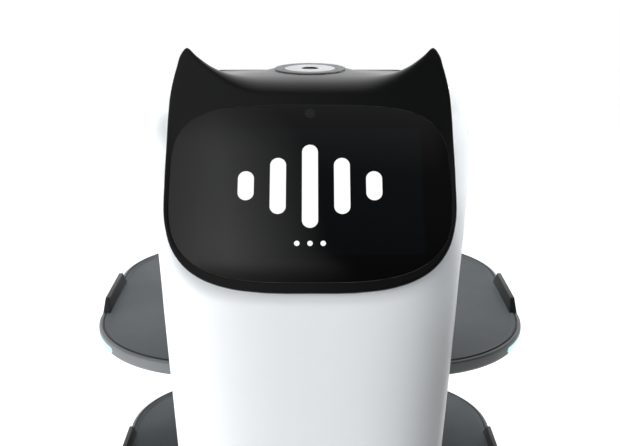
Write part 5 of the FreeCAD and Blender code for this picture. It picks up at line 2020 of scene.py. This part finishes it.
@dataclass(frozen=True)
class Studio:
    """Floor, lamps, sky and camera."""

    camera_place: Numbers = (0.0, -1.020, 1.408)
    camera_down_deg: float = 17.9
    lens: float = 53.3
    sensor_width: float = 36.0
    floor_size: float = 120.0
    floor_grey: Numbers = (0.8, 0.8, 0.8, 1.0)
    floor_roughness: float = 0.9
    floor_specular: float = 0.1
    floor_glow_near: float = 0.60
    floor_glow_far: float = 0.90
    glow_near: float = 0.8
    glow_far: float = 3.2
    white: Numbers = (1.0, 1.0, 1.0, 1.0)
    ambient: float = 0.17
    sky_from_back: Stops = (
        (0.0, 1.0),
        (0.155, 1.0),
        (0.23, 0.86),
        (0.30, 0.78),
        (0.37, 0.66),
        (0.45, 0.50),
        (0.51, 0.36),
        (0.57, 0.20),
        (0.64, 0.06),
        (0.80, 0.03),
        (1.0, 0.06),
    )
    sky_from_left: Stops = ((0.0, 0.30), (0.30, 0.60), (0.42, 0.86), (0.47, 0.50), (0.54, 0.06), (0.58, 0.0))
    front_band: Stops = (
        (0.50, 0.0),
        (0.62, 0.8),
        (0.70, 0.9),
        (0.745, 1.0),
        (0.767, 1.0),
        (0.785, 0.4),
        (0.85, 0.1),
    )
    fill_from_left: Stops = ((0.0, 1.0), (0.45, 1.0), (0.70, 0.55), (0.85, 0.35), (1.0, 0.30))
    lamps: tuple[Lamp, ...] = (
        Lamp("key_left", (-2.85, -1.35, 1.10), (0.0, -0.1, 1.0), (1.2, 2.2), 98.0),
        Lamp("low_left", (-1.7, -2.3, 0.40), (0.0, -0.2, 1.05), (0.9, 0.6), 20.0),
        Lamp("head_right", (1.5, -0.8, 1.70), (0.16, -0.09, 1.190), (0.15, 0.15), 0.15, 13.0),
        Lamp("high_back", (0.0, 1.1, 3.0), (0.0, 0.15, 0.8), (2.4, 1.2), 46.0),
        Lamp("rim_right", (2.2, 1.7, 1.3), (0.0, 0.0, 0.9), (0.6, 1.8), 8.0),
    )

    def build(self) -> None:
        """Set up everything that isn't part of the robot."""
        self.build_camera()
        self.build_floor()
        self.build_sky()
        for lamp in self.lamps:
            lamp.build()

    def build_camera(self) -> None:
        """Place the camera in front of the face, looking slightly down."""
        data = bpy.data.cameras.new("camera")
        data.lens, data.sensor_width = self.lens, self.sensor_width
        camera = bpy.data.objects.new("camera", data)
        camera.location = self.camera_place
        camera.rotation_euler = (math.radians(90.0 - self.camera_down_deg), 0.0, 0.0)
        scene = bpy.context.scene
        scene.collection.objects.link(camera)
        scene.camera = camera
        scene.view_settings.view_transform = "Standard"

    def build_floor(self) -> None:
        """Lay a plain pale floor that shows white but keeps shadows."""
        deselect()
        bpy.ops.mesh.primitive_plane_add(size=self.floor_size)
        floor = bpy.context.view_layer.objects.active
        floor.name = "studio_floor"
        bench = ShaderBench("studio_floor")
        away = bench.add("VectorMath", {0: bench.place}, operation="LENGTH").outputs["Value"]
        levels = (self.floor_glow_near, self.floor_glow_far, self.glow_near, self.glow_far)
        glow = bench.spread(away, *levels, interpolation_type="SMOOTHSTEP")
        inputs = {
            "Base Color": self.floor_grey,
            "Roughness": self.floor_roughness,
            "Specular IOR Level": self.floor_specular,
            "Emission Color": self.white,
            "Emission Strength": bench.sum_of("MULTIPLY", bench.seen("Is Glossy Ray", "Is Transmission Ray"), glow),
        }
        bench.wire(bench.surface, inputs)
        floor.data.materials.append(bench.material)

    def build_sky(self) -> None:
        """Light the room: a fill for dull surfaces that is brighter from the left, and a soft painted sky for glossy
        ones.

        The painted sky is white at the back, dims overhead towards the front, and has a
        soft bright patch at the front left.
        """
        world = bpy.data.worlds.new("studio")
        bpy.context.scene.world = world
        world.use_nodes = True
        bench = NodeBench(world.node_tree)
        x, y, z = bench.add("SeparateXYZ", {0: bench.add("TexCoord", {}).outputs["Generated"]}).outputs
        share = bench.sum_of("DIVIDE", bench.sum_of("ARCTAN2", z, y), math.pi)
        sideways = bench.sum_of("ADD", bench.sum_of("MULTIPLY", x, 0.5), 0.5)
        patch = bench.sum_of("MULTIPLY", bench.ramp(sideways, self.sky_from_left), bench.ramp(share, self.front_band))
        painted = bench.sum_of("MAXIMUM", bench.ramp(share, self.sky_from_back), patch)
        path = bench.add("LightPath", {}).outputs
        glossy = path["Is Glossy Ray"]
        fill = bench.sum_of("MULTIPLY", bench.ramp(sideways, self.fill_from_left), self.ambient)
        plain = bench.sum_of("MULTIPLY", bench.sum_of("SUBTRACT", 1.0, glossy), fill)
        mixed = bench.sum_of("ADD", bench.sum_of("MULTIPLY", painted, glossy), plain)
        level = bench.sum_of("MAXIMUM", mixed, path["Is Camera Ray"])
        light = bench.add("Background", {"Color": self.white, "Strength": level})
        bench.add("OutputWorld", {"Surface": light.outputs[0]})


class HiddenParts:
    """CAD nodes that keep their own shape and only take a finish."""

    def build(self) -> None:
        """Dress every CAD node in the finishes that its slots are named after."""
        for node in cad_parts.values():
            for place in node.material_slots:
                place.material = FINISHES[Slot(place.material.name.split(".")[0])].material
        log.info("dressed %d CAD nodes", len(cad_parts))


def main() -> None:
    """Build the robot and its studio."""
    logging.basicConfig(level=logging.INFO, format="%(name)s: %(message)s")
    HiddenParts().build()
    Studio().build()
    plane = FacePlane()
    Hood(plane).build()
    FaceGlass(plane).build()
    TopCamera().build()
    BodyShell(plane).build()
    TrayStack().build()
    Base().build()
    Wheels().build()
    BackPanel().build()
    Controls().build()
    FrontEye().build()


if __name__ == "__main__":
    main()
